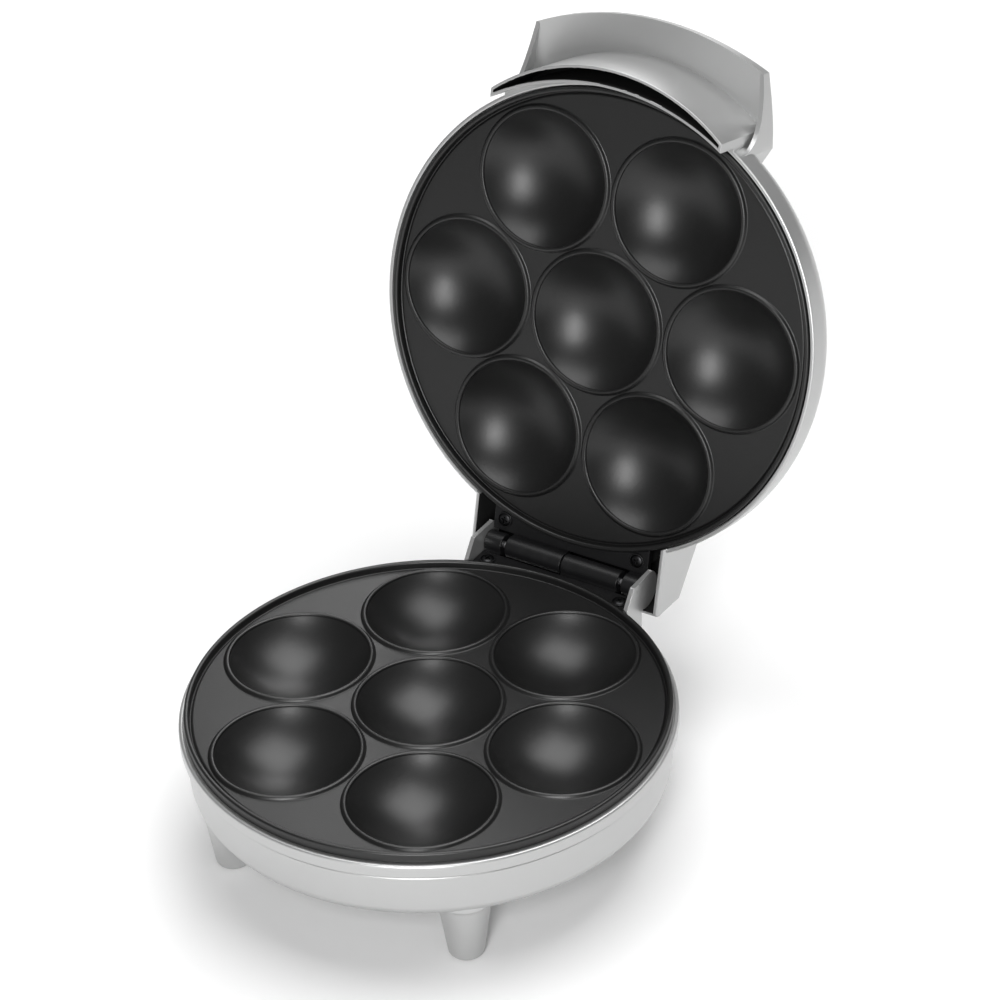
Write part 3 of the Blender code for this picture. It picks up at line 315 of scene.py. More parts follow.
@dataclass(frozen=True)
class BareMetal:
    """Bright or blackened metal with a fine drawn grain."""

    name: str = "steel"
    colour: Point = (0.55, 0.55, 0.56)
    gloss: float = 0.30

    def make(self) -> bpy.types.Material:
        """Mix the metal.

        Returns:
            The material.
        """
        g = Graph(self.name)
        grain = g.noise(1100.0, 4.0, 0.7)
        stain = g.noise(70.0, 4.0).clamp(0.4, 0.8)
        dark = scaled(self.colour, 0.7)
        g.feed("Base Color", g.blend(stain * 0.6, (*self.colour, 1.0), dark))
        g.feed("Roughness", self.gloss + grain * 0.14 + stain * 0.08)
        g.feed("Metallic", 1.0)
        g.bump(grain, 0.12, 0.00008)
        return g.material


@dataclass(frozen=True)
class Chalky:
    """Dull material such as rubber, fired clay or woven sleeve."""

    name: str = "rubber"
    colour: Point = (0.04, 0.04, 0.042)
    gloss: float = 0.72
    pitch: float = 700.0

    def make(self) -> bpy.types.Material:
        """Mix the dull material.

        Returns:
            The material.
        """
        g = Graph(self.name)
        grain = g.noise(self.pitch, 4.0, 0.65)
        dust = g.noise(45.0, 4.0).clamp(0.45, 0.8)
        light = scaled(self.colour, 1.25, 0.01)
        g.feed("Base Color", g.blend(dust * 0.6 + grain * 0.2, (*self.colour, 1.0), light))
        g.feed("Roughness", self.gloss + grain * 0.12)
        g.bump(grain, 0.3, 0.00015)
        return g.material


@dataclass(frozen=True)
class Lens:
    """Tinted clear plastic of an indicator lamp, with faint moulded prisms."""

    name: str = "red_lens"
    colour: Point = (0.55, 0.02, 0.02)

    def make(self) -> bpy.types.Material:
        """Mix the tinted plastic.

        Returns:
            The material.
        """
        g = Graph(self.name)
        prism = g.cells(1400.0)
        deep = scaled(self.colour, 0.45)
        g.feed("Base Color", g.blend(prism.clamp(0.1, 0.6), (*self.colour, 1.0), deep))
        g.feed("Roughness", 0.10 + prism * 0.08)
        g.feed("Coat Weight", 0.6)
        g.feed("Coat Roughness", 0.05)
        g.bump(prism, 0.18, 0.0001)
        return g.material


class Finish(Enum):
    """Finishes by the record's material slot."""

    SILVER = SilverShell()
    COATING = NonStick()
    BLACK = Moulding()
    # Near-black for the lid's insides: the black plastic there, and painted shade where little light gets
    # in.
    INSIDE = Moulding("unlit_inside", (0.006, 0.006, 0.006), 0.75)
    STEEL = BareMetal()
    DARK_STEEL = BareMetal("dark_steel", (0.045, 0.045, 0.047), 0.34)
    SHEET = BareMetal("aluminised_sheet", (0.70, 0.70, 0.71), 0.30)
    RUBBER = Chalky()
    CERAMIC = Chalky("white_ceramic", (0.80, 0.79, 0.75), 0.50, 500.0)
    SLEEVE = Chalky("glass_fibre_sleeve", (0.70, 0.69, 0.63), 0.70, 1500.0)
    RED = Lens()
    GREEN = Lens("green_lens", (0.02, 0.42, 0.06))

    def material(self) -> bpy.types.Material:
        """Find the finish's material, or make it the first time.

        Returns:
            The material.
        """
        found = bpy.data.materials.get("finish_" + self.value.name)
        if found is None:
            found = self.value.make()
            found.name = "finish_" + self.value.name
        return found


# ------------------------------------------------------------------ modelling steps
class Bench:
    """Modelling steps done with operators, in edit mode as by hand."""

    @staticmethod
    def alone(item: bpy.types.Object) -> bpy.types.Object:
        """Make an object the only selected and active one.

        Args:
            item: The object to work on.

        Returns:
            The same object.
        """
        if bpy.context.object is not None and bpy.context.object.mode != "OBJECT":
            bpy.ops.object.mode_set(mode="OBJECT")
        bpy.ops.object.select_all(action="DESELECT")
        item.select_set(True)
        bpy.context.view_layer.objects.active = item
        return item

    @staticmethod
    def settle(item: bpy.types.Object) -> None:
        """Put an object's place into its mesh."""
        Bench.alone(item)
        bpy.ops.object.transform_apply(location=True, rotation=True, scale=True)

    @staticmethod
    def trace(name: str, points: Sequence[Point], loop: bool) -> bpy.types.Object:
        """Draw a line of edges by extruding one vertex along a route.

        Args:
            name: Name of the new object.
            points: Route to follow.
            loop: True to come back to the start.

        Returns:
            The new object, left in edit mode with everything selected.
        """
        bpy.ops.object.select_all(action="DESELECT")
        bpy.ops.mesh.primitive_plane_add(size=0.001, location=points[0])
        item = bpy.context.object
        item.name = name
        bpy.ops.object.mode_set(mode="EDIT")
        bpy.ops.mesh.merge(type="CENTER")
        bpy.ops.object.mode_set(mode="OBJECT")
        Bench.settle(item)
        bpy.ops.object.mode_set(mode="EDIT")
        bpy.ops.mesh.select_all(action="SELECT")
        route = list(points) + ([points[0]] if loop else [])
        for here, there in zip(route, route[1:]):
            step = Vector(there) - Vector(here)
            bpy.ops.mesh.extrude_vertices_move(TRANSFORM_OT_translate={"value": step})
        bpy.ops.mesh.select_all(action="SELECT")
        if loop:
            bpy.ops.mesh.remove_doubles(threshold=1e-6)
        return item

    @staticmethod
    def turn(name: str, profile: Sequence[Flat], steps: int = 96,
             loop: bool = False) -> bpy.types.Object:
        """Spin a profile of (radius, z) about the Z axis.

        Args:
            name: Name of the new object.
            profile: The half section.
            steps: Steps in the full turn.
            loop: True where the section closes on itself.

        Returns:
            A closed turned object.
        """
        item = Bench.trace(name, [(r, 0.0, z) for r, z in profile], loop)
        bpy.ops.mesh.spin(steps=steps, angle=2 * math.pi, center=(0, 0, 0), axis=(0, 0, 1))
        bpy.ops.mesh.select_all(action="SELECT")
        bpy.ops.mesh.remove_doubles(threshold=2e-6)
        bpy.ops.mesh.normals_make_consistent(inside=False)
        bpy.ops.object.mode_set(mode="OBJECT")
        return item

    @staticmethod
    def slab(name: str, outline: Sequence[Flat], low: float, high: float,
             along: str = "Z") -> bpy.types.Object:
        """Fill an outline and pull it into a slab.

        Args:
            name: Name of the new object.
            outline: Points (x, y) for a slab along Z, or (y, z) along X.
            low: Where the slab starts.
            high: Where it ends.
            along: Axis it is pulled along.

        Returns:
            A closed slab.
        """
        if along == "Z":
            points = [(a, b, low) for a, b in outline]
            pull = (0.0, 0.0, high - low)
        else:
            points = [(low, a, b) for a, b in outline]
            pull = (high - low, 0.0, 0.0)
        item = Bench.trace(name, points, True)
        bpy.ops.mesh.edge_face_add()
        bpy.ops.mesh.extrude_region_move(TRANSFORM_OT_translate={"value": pull})
        bpy.ops.mesh.select_all(action="SELECT")
        bpy.ops.mesh.normals_make_consistent(inside=False)
        bpy.ops.object.mode_set(mode="OBJECT")
        return item

    @staticmethod
    def rod(name: str, start: Point, end: Point, radius: float, sides: int = 48) -> bpy.types.Object:
        """Make a cylinder between two points.

        Args:
            name: Name of the new object.
            start: Middle of one end.
            end: Middle of the other.
            radius: The cylinder's radius.
            sides: Faces round it.

        Returns:
            A closed cylinder.
        """
        a = Vector(start)
        b = Vector(end)
        bpy.ops.object.select_all(action="DESELECT")
        bpy.ops.mesh.primitive_cylinder_add(vertices=sides, radius=radius, depth=(b - a).length,
                                            location=(a + b) / 2,
                                            rotation=(b - a).to_track_quat("Z", "Y").to_euler())
        item = bpy.context.object
        item.name = name
        Bench.settle(item)
        return item

    @staticmethod
    def crate(name: str, low: Point, high: Point) -> bpy.types.Object:
        """Make a box between two corners.

        Args:
            name: Name of the new object.
            low: The corner with the lowest coordinates.
            high: The corner with the highest.

        Returns:
            A closed box.
        """
        a = Vector(low)
        b = Vector(high)
        bpy.ops.object.select_all(action="DESELECT")
        bpy.ops.mesh.primitive_cube_add(size=1.0, location=(a + b) / 2, scale=b - a)
        item = bpy.context.object
        item.name = name
        Bench.settle(item)
        return item

    @staticmethod
    def modify(item: bpy.types.Object, kind: str, **settings: Any) -> bpy.types.Object:
        """Add a modifier and apply it.

        Args:
            item: The object to change.
            kind: The modifier's type name.
            settings: The modifier's own values.

        Returns:
            The same object.
        """
        Bench.alone(item)
        change = item.modifiers.new(kind.lower(), kind)
        for key, value in settings.items():
            setattr(change, key, value)
        bpy.ops.object.modifier_apply(modifier=change.name)
        return item

    @staticmethod
    def soften(item: bpy.types.Object, width: float, segments: int = 3,
               angle: float = 40.0) -> bpy.types.Object:
        """Round an object's sharp edges.

        Args:
            item: The object to change.
            width: Width of the round.
            segments: Faces across it.
            angle: Edges sharper than this are rounded, in degrees.

        Returns:
            The same object.
        """
        return Bench.modify(item, "BEVEL", width=width, segments=segments, limit_method="ANGLE",
                            angle_limit=math.radians(angle), use_clamp_overlap=True,
                            miter_outer="MITER_ARC")

    @staticmethod
    def combine(item: bpy.types.Object, tool: bpy.types.Object, operation: str) -> bpy.types.Object:
        """Join, cut or intersect an object with a tool, which is then thrown away.

        Args:
            item: The object to change.
            tool: The object that changes it, with its own finish on the faces it leaves.
            operation: UNION, DIFFERENCE or INTERSECT.

        Returns:
            The changed object.
        """
        Bench.modify(item, "BOOLEAN", operation=operation, solver="EXACT", object=tool,
                     material_mode="TRANSFER")
        mesh = tool.data
        bpy.data.objects.remove(tool)
        bpy.data.meshes.remove(mesh)
        return item

    @staticmethod
    def cut(item: bpy.types.Object, *tools: bpy.types.Object) -> bpy.types.Object:
        """Subtract tools from an object.

        Args:
            item: The object that is cut.
            tools: The cutters, which are thrown away.

        Returns:
            The cut object.
        """
        for tool in tools:
            Bench.combine(item, tool, "DIFFERENCE")
        return item

    @staticmethod
    def join(item: bpy.types.Object, *tools: bpy.types.Object) -> bpy.types.Object:
        """Unite tools with an object.

        Args:
            item: The object that grows.
            tools: The objects it takes in, which are thrown away.

        Returns:
            The grown object.
        """
        for tool in tools:
            Bench.combine(item, tool, "UNION")
        return item

    @staticmethod
    def gather(item: bpy.types.Object, others: Sequence[bpy.types.Object]) -> bpy.types.Object:
        """Make several closed shells one object.

        Args:
            item: The object that takes in the others.
            others: The shells to add.

        Returns:
            The first object with all shells.
        """
        Bench.alone(item)
        for other in others:
            other.select_set(True)
        bpy.ops.object.join()
        return item

    @staticmethod
    def copy(item: bpy.types.Object, name: str, move: Matrix) -> bpy.types.Object:
        """Copy an object with its own mesh and move the copy's mesh.

        Args:
            item: The object to copy.
            name: The copy's name.
            move: Where the copy goes.

        Returns:
            The copy.
        """
        twin = item.copy()
        twin.data = item.data.copy()
        twin.name = name
        bpy.context.scene.collection.objects.link(twin)
        twin.matrix_world = move
        Bench.settle(twin)
        return twin

    @staticmethod
    def paint(item: bpy.types.Object, finish: Finish) -> bpy.types.Object:
        """Give an object one finish.

        Args:
            item: The object to paint.
            finish: Its finish.

        Returns:
            The same object.
        """
        item.data.materials.clear()
        item.data.materials.append(finish.material())
        return item


def arc(centre: Flat, radius: float, start: float, end: float, steps: int) -> list[Flat]:
    """Lay points on an arc.

    Args:
        centre: The arc's middle.
        radius: Its radius.
        start: Angle of the first point, in degrees.
        end: Angle of the last point, in degrees.
        steps: Steps between them.

    Returns:
        The points, one more than the steps.
    """
    points = []
    for i in range(steps + 1):
        a = math.radians(start + (end - start) * i / steps)
        points.append((centre[0] + radius * math.cos(a), centre[1] + radius * math.sin(a)))
    return points


def mm(points: Sequence[Flat]) -> list[Flat]:
    """Turn points in millimetres into metres."""
    return [(a * MM, b * MM) for a, b in points]


# ------------------------------------------------------------------ where pieces go
@dataclass
class Layout:
    """Sizes that the pieces share, and where the closed object stands in the frame."""

    pitch: float = 61.0 * MM
    gap: float = 2.8 * MM
    screw_x: float = 31.5 * MM
    screw_y: float = 94.46 * MM
    open_angle: float = math.radians(104.26)
    hinge_y: float = 104.5 * MM
    hinge_z: float = 1.4 * MM
    shift: Vector = field(default_factory=Vector)

    def __post_init__(self) -> None:
        """Read the hinge's place from the frame."""
        place = Vector(frame["joints"][0]["pos_m"])
        self.shift = place - Vector((0.0, self.hinge_y, self.hinge_z))

    def base(self) -> Matrix:
        """Return the move that sets a closed piece on the base."""
        return Matrix.Translation(self.shift)

    def lid(self) -> Matrix:
        """Return the move that opens a closed piece with the lid."""
        hinge = Matrix.Translation((0.0, self.hinge_y, self.hinge_z))
        return self.base() @ hinge @ Matrix.Rotation(-self.open_angle, 4, "X") @ hinge.inverted()

    def turned_over(self) -> Matrix:
        """Return the move that carries a base piece to the lid's lower face."""
        return self.lid() @ Matrix.Translation((0.0, 0.0, self.gap)) @ Matrix.Rotation(math.pi, 4, "Y")

    def cups(self) -> list[Flat]:
        """Return the centres of the seven cups."""
        ring = arc((0.0, 0.0), self.pitch, 0.0, 300.0, 5)
        return [(0.0, 0.0)] + ring


@dataclass
class Assembly:
    """What every sub-assembly knows: the layout and how to hand a piece over."""

    layout: Layout

    def deliver(self, item: bpy.types.Object, name: str, move: Matrix, body: str, nodes: Sequence[str],
                slot: str, angle: float = 34.0) -> bpy.types.Object:
        """Smooth a piece, set it in place, hang it on its body and hide the CAD nodes it stands for.

        Args:
            item: The finished object, in closed position.
            name: The piece's name.
            move: Where it goes.
            body: The body it rides on.
            nodes: CAD nodes it stands for.
            slot: The record's material slot; not used.
            angle: Edges sharper than this stay sharp, in degrees.

        Returns:
            The piece.
        """
        item.name = name
        item.data.name = name
        item.matrix_world = move
        Bench.settle(item)
        bpy.ops.object.shade_smooth_by_angle(angle=math.radians(angle))
        Bench.modify(item, "WEIGHTED_NORMAL", mode="FACE_AREA", weight=90, keep_sharp=True)
        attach(item, body)
        if nodes:
            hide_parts(*nodes)
        LOG.info("%s: %d faces", name, len(item.data.polygons))
        return item


# ------------------------------------------------------------------ plates
@dataclass
class CupPlate(Assembly):
    """Cast plate: a flat disc with a raised lip and seven beaded cups."""

    lip: Sequence[Flat] = (
        (91.6, -1.2), (92.0, -1.24), (92.3, -1.45), (92.5, -1.75), (92.8, -1.9), (93.1, -1.75),
        (93.25, -1.3), (93.35, 0.35), (93.5, 0.78), (93.85, 1.08), (94.3, 1.19), (94.8, 1.17),
        (95.15, 1.0), (95.4, 0.66), (95.5, 0.2), (95.5, -2.6), (95.2, -3.0))
    bead: Sequence[Flat] = (
        (31.0, -1.42), (30.6, -1.26), (30.25, -1.1), (30.0, -0.86), (29.82, -0.55), (29.6, -0.26),
        (29.3, -0.08), (28.95, 0.0), (28.55, -0.02), (28.25, -0.14), (28.05, -0.36), (27.98, -0.66),
        (27.92, -1.02), (27.72, -1.22))
    depth: float = 14.5
    wall: float = 2.0
    hole_radius: float = 28.8 * MM

    def cup(self) -> bpy.types.Object:
        """Spin one cup as a closed shell.

        Returns:
            The cup at the origin.
        """
        mouth, top = self.bead[-1]
        drop = self.depth + top
        ball = (mouth ** 2 + drop ** 2) / (2 * drop)
        edge = math.degrees(math.asin(mouth / ball))
        middle = ball - self.depth
        dish = [(x, y) for x, y in arc((0.0, middle), ball, -90.0 + edge, -90.0, 26)][1:]
        under = arc((0.0, middle + 0.4), ball + self.wall, -90.0, -90.0 + edge, 16)
        profile = list(self.bead) + dish + under + [(28.6, -2.4), (31.0, -2.4)]
        profile = [(max(0.0, r), z) for r, z in profile]
        return Bench.turn("cup", mm(profile), 96, loop=True)

    def build(self) -> bpy.types.Object:
        """Build the plate where the base has it.

        Returns:
            The plate with its seven cups.
        """
        disc = Bench.turn("disc", [(0.0, -1.2 * MM)] + mm(self.lip) + [(0.0, -3.0 * MM)], 192)
        for i, (x, y) in enumerate(self.layout.cups()):
            hole = Bench.rod(f"hole_{i}", (x, y, -6 * MM), (x, y, 4 * MM), self.hole_radius, 96)
            Bench.cut(disc, hole)
        first = self.cup()
        cups = [Bench.copy(first, f"cup_{i}", Matrix.Translation((x, y, 0.0)))
                for i, (x, y) in enumerate(self.layout.cups())]
        bpy.data.objects.remove(first)
        return Bench.gather(disc, cups)

    def dress(self) -> None:
        """Make both plates."""
        plate = Bench.paint(self.build(), Finish.COATING)
        other = Bench.copy(plate, "lid_cups", Matrix.Identity(4))
        slot = "non_stick_coating"
        self.deliver(plate, "base_cups", self.layout.base(), "base", ["base_plate"], slot)
        self.deliver(other, "lid_cups", self.layout.turned_over(), "lid", ["lid_plate"], slot)


# ------------------------------------------------------------------ base
@dataclass
class Base(Assembly):
    """Silver bowl with its rim, feet, hinge bump and ears."""

    rim: Sequence[Flat] = (
        (95.92, -3.5), (95.95, -3.2), (96.15, -3.03), (96.6, -2.98), (97.1, -3.05), (97.45, -3.3),
        (97.65, -3.75), (97.7, -4.3), (97.7, -7.7), (97.6, -8.2), (97.3, -8.5), (96.9, -8.62),
        (95.5, -8.7), (95.0, -8.95), (94.9, -9.4), (95.05, -9.75), (95.5, -9.95), (95.75, -10.2),
        (95.85, -10.6), (95.82, -11.2))
    foot_places: Sequence[tuple[str, float, float]] = (
        ("front_left", 82.2, 228.9), ("front_right", 82.2, 311.1), ("rear_left", 83.2, 103.0),
        ("rear_right", 83.2, 77.0))
    # Keeps the feet's edges off the bowl's, so that each join stays closed.
    foot_turn: float = math.radians(1.0)
    ear_inner: float = 37.0
    ear_outer: float = 38.8
    bump_back: float = 100.49
    vent_pitch: float = 9.0
    well_ring: float = 79.8 * MM
    well_radius: float = 3.3 * MM
    bush_z: float = -21.5 * MM

    def bowl(self) -> bpy.types.Object:
        """Spin the bowl.

        Returns:
            The bowl without feet, bump or ears.
        """
        side = [(95.6, -16.0), (95.35, -20.5), (95.1, -24.3)]
        corner = arc((89.1, -24.3), 6.0, 0.0, -90.0, 12)[1:]
        floor = [(60.0, -30.3), (0.0, -30.3), (0.0, -28.3), (88.5, -28.3)]
        inner = arc((89.1, -24.1), 4.2, -90.0, 0.0, 5)
        ledge = [(93.3, -6.9), (92.6, -5.1), (92.6, -3.45), (95.5, -3.45)]
        profile = list(self.rim) + side + corner + floor + inner + ledge
        return Bench.turn("bowl", mm(profile), 192, loop=True)

    def feet(self, bowl: bpy.types.Object) -> None:
        """Join four tapered feet with pockets for their pads.

        Args:
            bowl: The bowl they are joined to.
        """
        section = mm([(0.0, -57.1), (6.2, -57.1), (6.75, -56.95), (7.05, -56.5), (7.3, -55.2),
                      (8.9, -43.0), (10.4, -32.5), (10.8, -30.9), (11.5, -30.1), (11.5, -27.2),
                      (0.0, -27.2)])
        for name, radius, angle in self.foot_places:
            x, y = arc((0.0, 0.0), radius * MM, angle, angle, 1)[0]
            foot = Bench.turn("foot_" + name, section, 64)
            foot.rotation_euler.z = self.foot_turn
            foot.location = (x, y, 0.0)
            Bench.settle(foot)
            pocket = Bench.rod("pocket", (x, y, -60 * MM), (x, y, -54.8 * MM), 5.3 * MM, 48)
            Bench.join(bowl, foot)
            Bench.cut(bowl, pocket)

    def bump(self) -> bpy.types.Object:
        """Make the block behind the bowl.

        Returns:
            The block.
        """
        outline = mm([(84.0, -0.9), (self.bump_back, -0.9), (self.bump_back, -13.2), (99.6, -14.4),
                      (95.6, -16.2), (84.0, -16.2)])
        block = Bench.slab("bump", outline, -self.ear_outer * MM, self.ear_outer * MM, "X")
        return Bench.soften(block, 0.5 * MM, 3, 25.0)

    def ear(self, side: int) -> bpy.types.Object:
        """Make one ear.

        Args:
            side: -1 for the left ear, 1 for the right.

        Returns:
            The ear.
        """
        start = math.degrees(math.acos(0.45))
        nose = arc((104.5, 1.4), 8.3, start, -112.0, 26)
        front = arc((88.6, 0.4), 0.6, 180.0, 150.0, 3) + arc((94.2, 7.9), 0.6, 135.0, 90.0, 4)
        heel = [(100.19, -6.9), (100.19, -9.3)]
        outline = mm([(88.0, -7.5)] + front + [(nose[0][0], 8.5)] + nose + heel)
        low, high = sorted((side * (self.ear_inner - 0.4) * MM, side * self.ear_outer * MM))
        plate = Bench.slab("ear", outline, low, high, "X")
        return Bench.soften(plate, 0.4 * MM, 3, 30.0)

    def room(self) -> list[bpy.types.Object]:
        """Make the cutters that clear the hinge, the plate and the screws.

        Returns:
            The cutters.
        """
        reach = self.bump_back + 0.3
        outline = mm([(81.0, -4.2), (reach, -4.2), (reach, -17.0), (118.0, -17.0), (118.0, 12.0),
                      (81.0, 12.0)])
        between = Bench.slab("between", outline, -self.ear_inner * MM, self.ear_inner * MM, "X")
        section = mm([(0.0, 12.0), (95.9, 12.0), (95.9, -3.45), (92.6, -3.45), (92.6, -16.5), (0.0, -16.5)])
        seat = Bench.turn("seat", section, 192)
        low = (-27.4 * MM, 80.8 * MM, -14.2 * MM)
        high = (27.4 * MM, 98.5 * MM, -6.2 * MM)
        return [seat, between, Bench.crate("hollow", low, high)]

    def pierce(self, bowl: bpy.types.Object) -> None:
        """Cut the vents, the screw wells and the holes.

        Args:
            bowl: The bowl that is cut.
        """
        for i in range(-2, 3):
            y = self.vent_pitch * i * MM
            low = (-20 * MM, y - 1.5 * MM, -33 * MM)
            high = (20 * MM, y + 1.5 * MM, -26 * MM)
            vent = Bench.crate("vent", low, high)
            Bench.cut(bowl, Bench.soften(vent, 1.2 * MM, 4))
        for angle in (30.0, 150.0, 210.0, 330.0):
            x, y = arc((0.0, 0.0), self.well_ring, angle, angle, 1)[0]
            well = Bench.rod("well", (x, y, -34 * MM), (x, y, -26 * MM), self.well_radius, 32)
            Bench.cut(bowl, well)
        for side in (-1, 1):
            x = side * self.layout.screw_x
            y = self.layout.screw_y
            Bench.cut(bowl, Bench.rod("boss_hole", (x, y, -12 * MM), (x, y, 0.0), 1.7 * MM, 24))
        hole = Bench.rod("gland_hole", (0, 88 * MM, self.bush_z), (0, 98 * MM, self.bush_z), 4.1 * MM, 32)
        Bench.cut(bowl, hole)

    def build(self) -> bpy.types.Object:
        """Build the whole bowl.

        Returns:
            The bowl.
        """
        bowl = self.bowl()
        self.feet(bowl)
        Bench.join(bowl, self.bump(), self.ear(-1), self.ear(1))
        Bench.cut(bowl, *self.room())
        self.pierce(bowl)
        return bowl

    def dress(self) -> None:
        """Make the bowl, the pads and the cord bush."""
        bowl = Bench.paint(self.build(), Finish.SILVER)
        self.deliver(bowl, "base_shell", self.layout.base(), "base", ["base_housing"], "silver_shell")
        section = mm([(0.0, -57.7), (4.0, -57.7), (4.55, -57.62), (4.88, -57.35), (5.0, -56.95),
                      (5.0, -55.1), (0.0, -55.1)])
        for name, radius, angle in self.foot_places:
            x, y = arc((0.0, 0.0), radius * MM, angle, angle, 1)[0]
            pad = Bench.paint(Bench.turn("pad", section, 48), Finish.RUBBER)
            move = self.layout.base() @ Matrix.Translation((x, y, 0.0))
            self.deliver(pad, "pad_" + name, move, "base", ["foot_pad_" + name], "rubber")
        self.bush()

    def bush(self) -> None:
        """Make the rubber bush where the lead enters."""
        section = mm([(2.6, 97.6), (2.8, 97.9), (3.4, 98.0), (4.2, 97.9), (4.75, 97.5), (5.0, 96.9),
                      (5.0, 96.25), (3.8, 96.2), (3.8, 92.6), (4.25, 92.5), (4.25, 91.0), (2.6, 91.0)])
        bush = Bench.paint(Bench.turn("bush", section, 48, loop=True), Finish.RUBBER)
        stand = Matrix.Translation((0.0, 0.0, self.bush_z)) @ Matrix.Rotation(-math.pi / 2, 4, "X")
        self.deliver(bush, "cord_bush", self.layout.base() @ stand, "base", ["cord_gland"], "rubber")


# ------------------------------------------------------------------ hinge
@dataclass
class Hinge(Assembly):
    """Two black brackets that interlock round the pin, and their screws."""

    axis: Flat = (104.5, 1.4)
    barrel: float = 4.6
    bore: float = 1.62
    half: float = 36.7
    screw_head: float = 2.7

    def along_pin(self, name: str, low: float, high: float, radius: float, sides: int) -> bpy.types.Object:
        """Make a cylinder on the pin's axis.

        Args:
            name: Name of the new object.
            low: Where it starts along X, in millimetres.
            high: Where it ends, in millimetres.
            radius: Its radius, in millimetres.
            sides: Faces round it.

        Returns:
            A closed cylinder.
        """
        y, z = self.axis
        start = (low * MM, y * MM, z * MM)
        end = (high * MM, y * MM, z * MM)
        return Bench.rod(name, start, end, radius * MM, sides)

    def sleeve(self, low: float, high: float) -> bpy.types.Object:
        """Return one barrel with rounded ends."""
        return Bench.soften(self.along_pin("sleeve", low, high, self.barrel, 64), 0.35 * MM, 3)

    def web(self, low: float, high: float) -> bpy.types.Object:
        """Make the foot that ties a barrel to the flange.

        Args:
            low: Where the barrel starts along X, in millimetres.
            high: Where it ends, in millimetres.

        Returns:
            The foot.
        """
        outline = mm([(97.8, -3.7), (104.0, -3.15), (108.0, -1.7), (108.2, 0.4), (100.2, 0.4),
                      (99.7, -1.15), (97.8, -1.2)])
        return Bench.slab("web", outline, (low + 0.15) * MM, (high - 0.15) * MM, "X")

    def build(self) -> bpy.types.Object:
        """Build one bracket where the base has it.

        Returns:
            The bracket.
        """
        edge = math.degrees(math.asin(self.half / 95.9))
        round_edge = arc((0.0, 0.0), 95.9, 90.0 + edge, 90.0 - edge, 40)
        outline = mm(round_edge + [(self.half, 99.6), (-self.half, 99.6)])
        plate = Bench.soften(Bench.slab("flange", outline, -3.9 * MM, -0.9 * MM), 0.3 * MM, 2, 50.0)
        for low, high in ((0.3, 26.7), (-self.half, -28.7)):
            Bench.join(plate, self.web(low, high), self.sleeve(low, high))
        for side in (-1, 1):
            x = side * self.layout.screw_x
            y = self.layout.screw_y
            ring = Bench.rod("ring", (x, y, -3.4 * MM), (x, y, -0.15 * MM), 3.38 * MM)
            Bench.join(plate, Bench.soften(ring, 0.25 * MM, 3))
            Bench.cut(plate, Bench.rod("seat", (x, y, -1.65 * MM), (x, y, 4 * MM), 2.85 * MM),
                      Bench.rod("shank", (x, y, -7 * MM), (x, y, 0.0), 1.7 * MM, 24))
        return Bench.cut(plate, self.along_pin("bore", -40.0, 40.0, self.bore, 32))

    def screw(self) -> bpy.types.Object:
        """Make a cross-head screw standing on its seat.

        Returns:
            The screw at the origin.
        """
        head = self.screw_head
        section = mm([(0.0, 1.42), (0.9, 1.40), (1.7, 1.26), (2.3, 0.98), (head - 0.08, 0.6),
                      (head, 0.35), (head - 0.05, 0.04), (head - 0.2, 0.0), (1.4, 0.0), (1.4, -9.2),
                      (1.1, -9.5), (0.0, -9.5)])
        body = Bench.turn("screw", section, 40)
        for wide, tall in ((1.45, 0.36), (0.36, 1.45)):
            slot = Bench.crate("slot", (-wide * MM, -tall * MM, 0.35 * MM), (wide * MM, tall * MM, 3 * MM))
            Bench.cut(body, slot)
        return Bench.paint(body, Finish.DARK_STEEL)

    def dress(self) -> None:
        """Make both brackets and their four screws."""
        bracket = Bench.paint(self.build(), Finish.BLACK)
        other = Bench.copy(bracket, "lid_half", Matrix.Identity(4))
        slot = "black_moulding"
        base = self.layout.base()
        lid = self.layout.turned_over()
        self.deliver(bracket, "base_hinge_half", base, "base", ["base_hinge_bracket"], slot)
        self.deliver(other, "lid_hinge_half", lid, "lid", ["lid_hinge_bracket"], slot)
        first = self.screw()
        for body, move, turn in (("base", base, 1), ("lid", lid, -1)):
            for side, name in ((-turn, "left"), (turn, "right")):
                spin = Matrix.Rotation(math.radians(20.0 + 31.0 * side * turn), 4, "Z")
                place = (side * self.layout.screw_x, self.layout.screw_y, -1.35 * MM)
                spot = Matrix.Translation(place) @ spin
                copy = Bench.copy(first, "screw_copy", Matrix.Identity(4))
                node = f"{body}_bracket_screw_{name}"
                self.deliver(copy, f"{body}_screw_{name}", move @ spot, body, [node], "dark_steel")
        bpy.data.objects.remove(first)


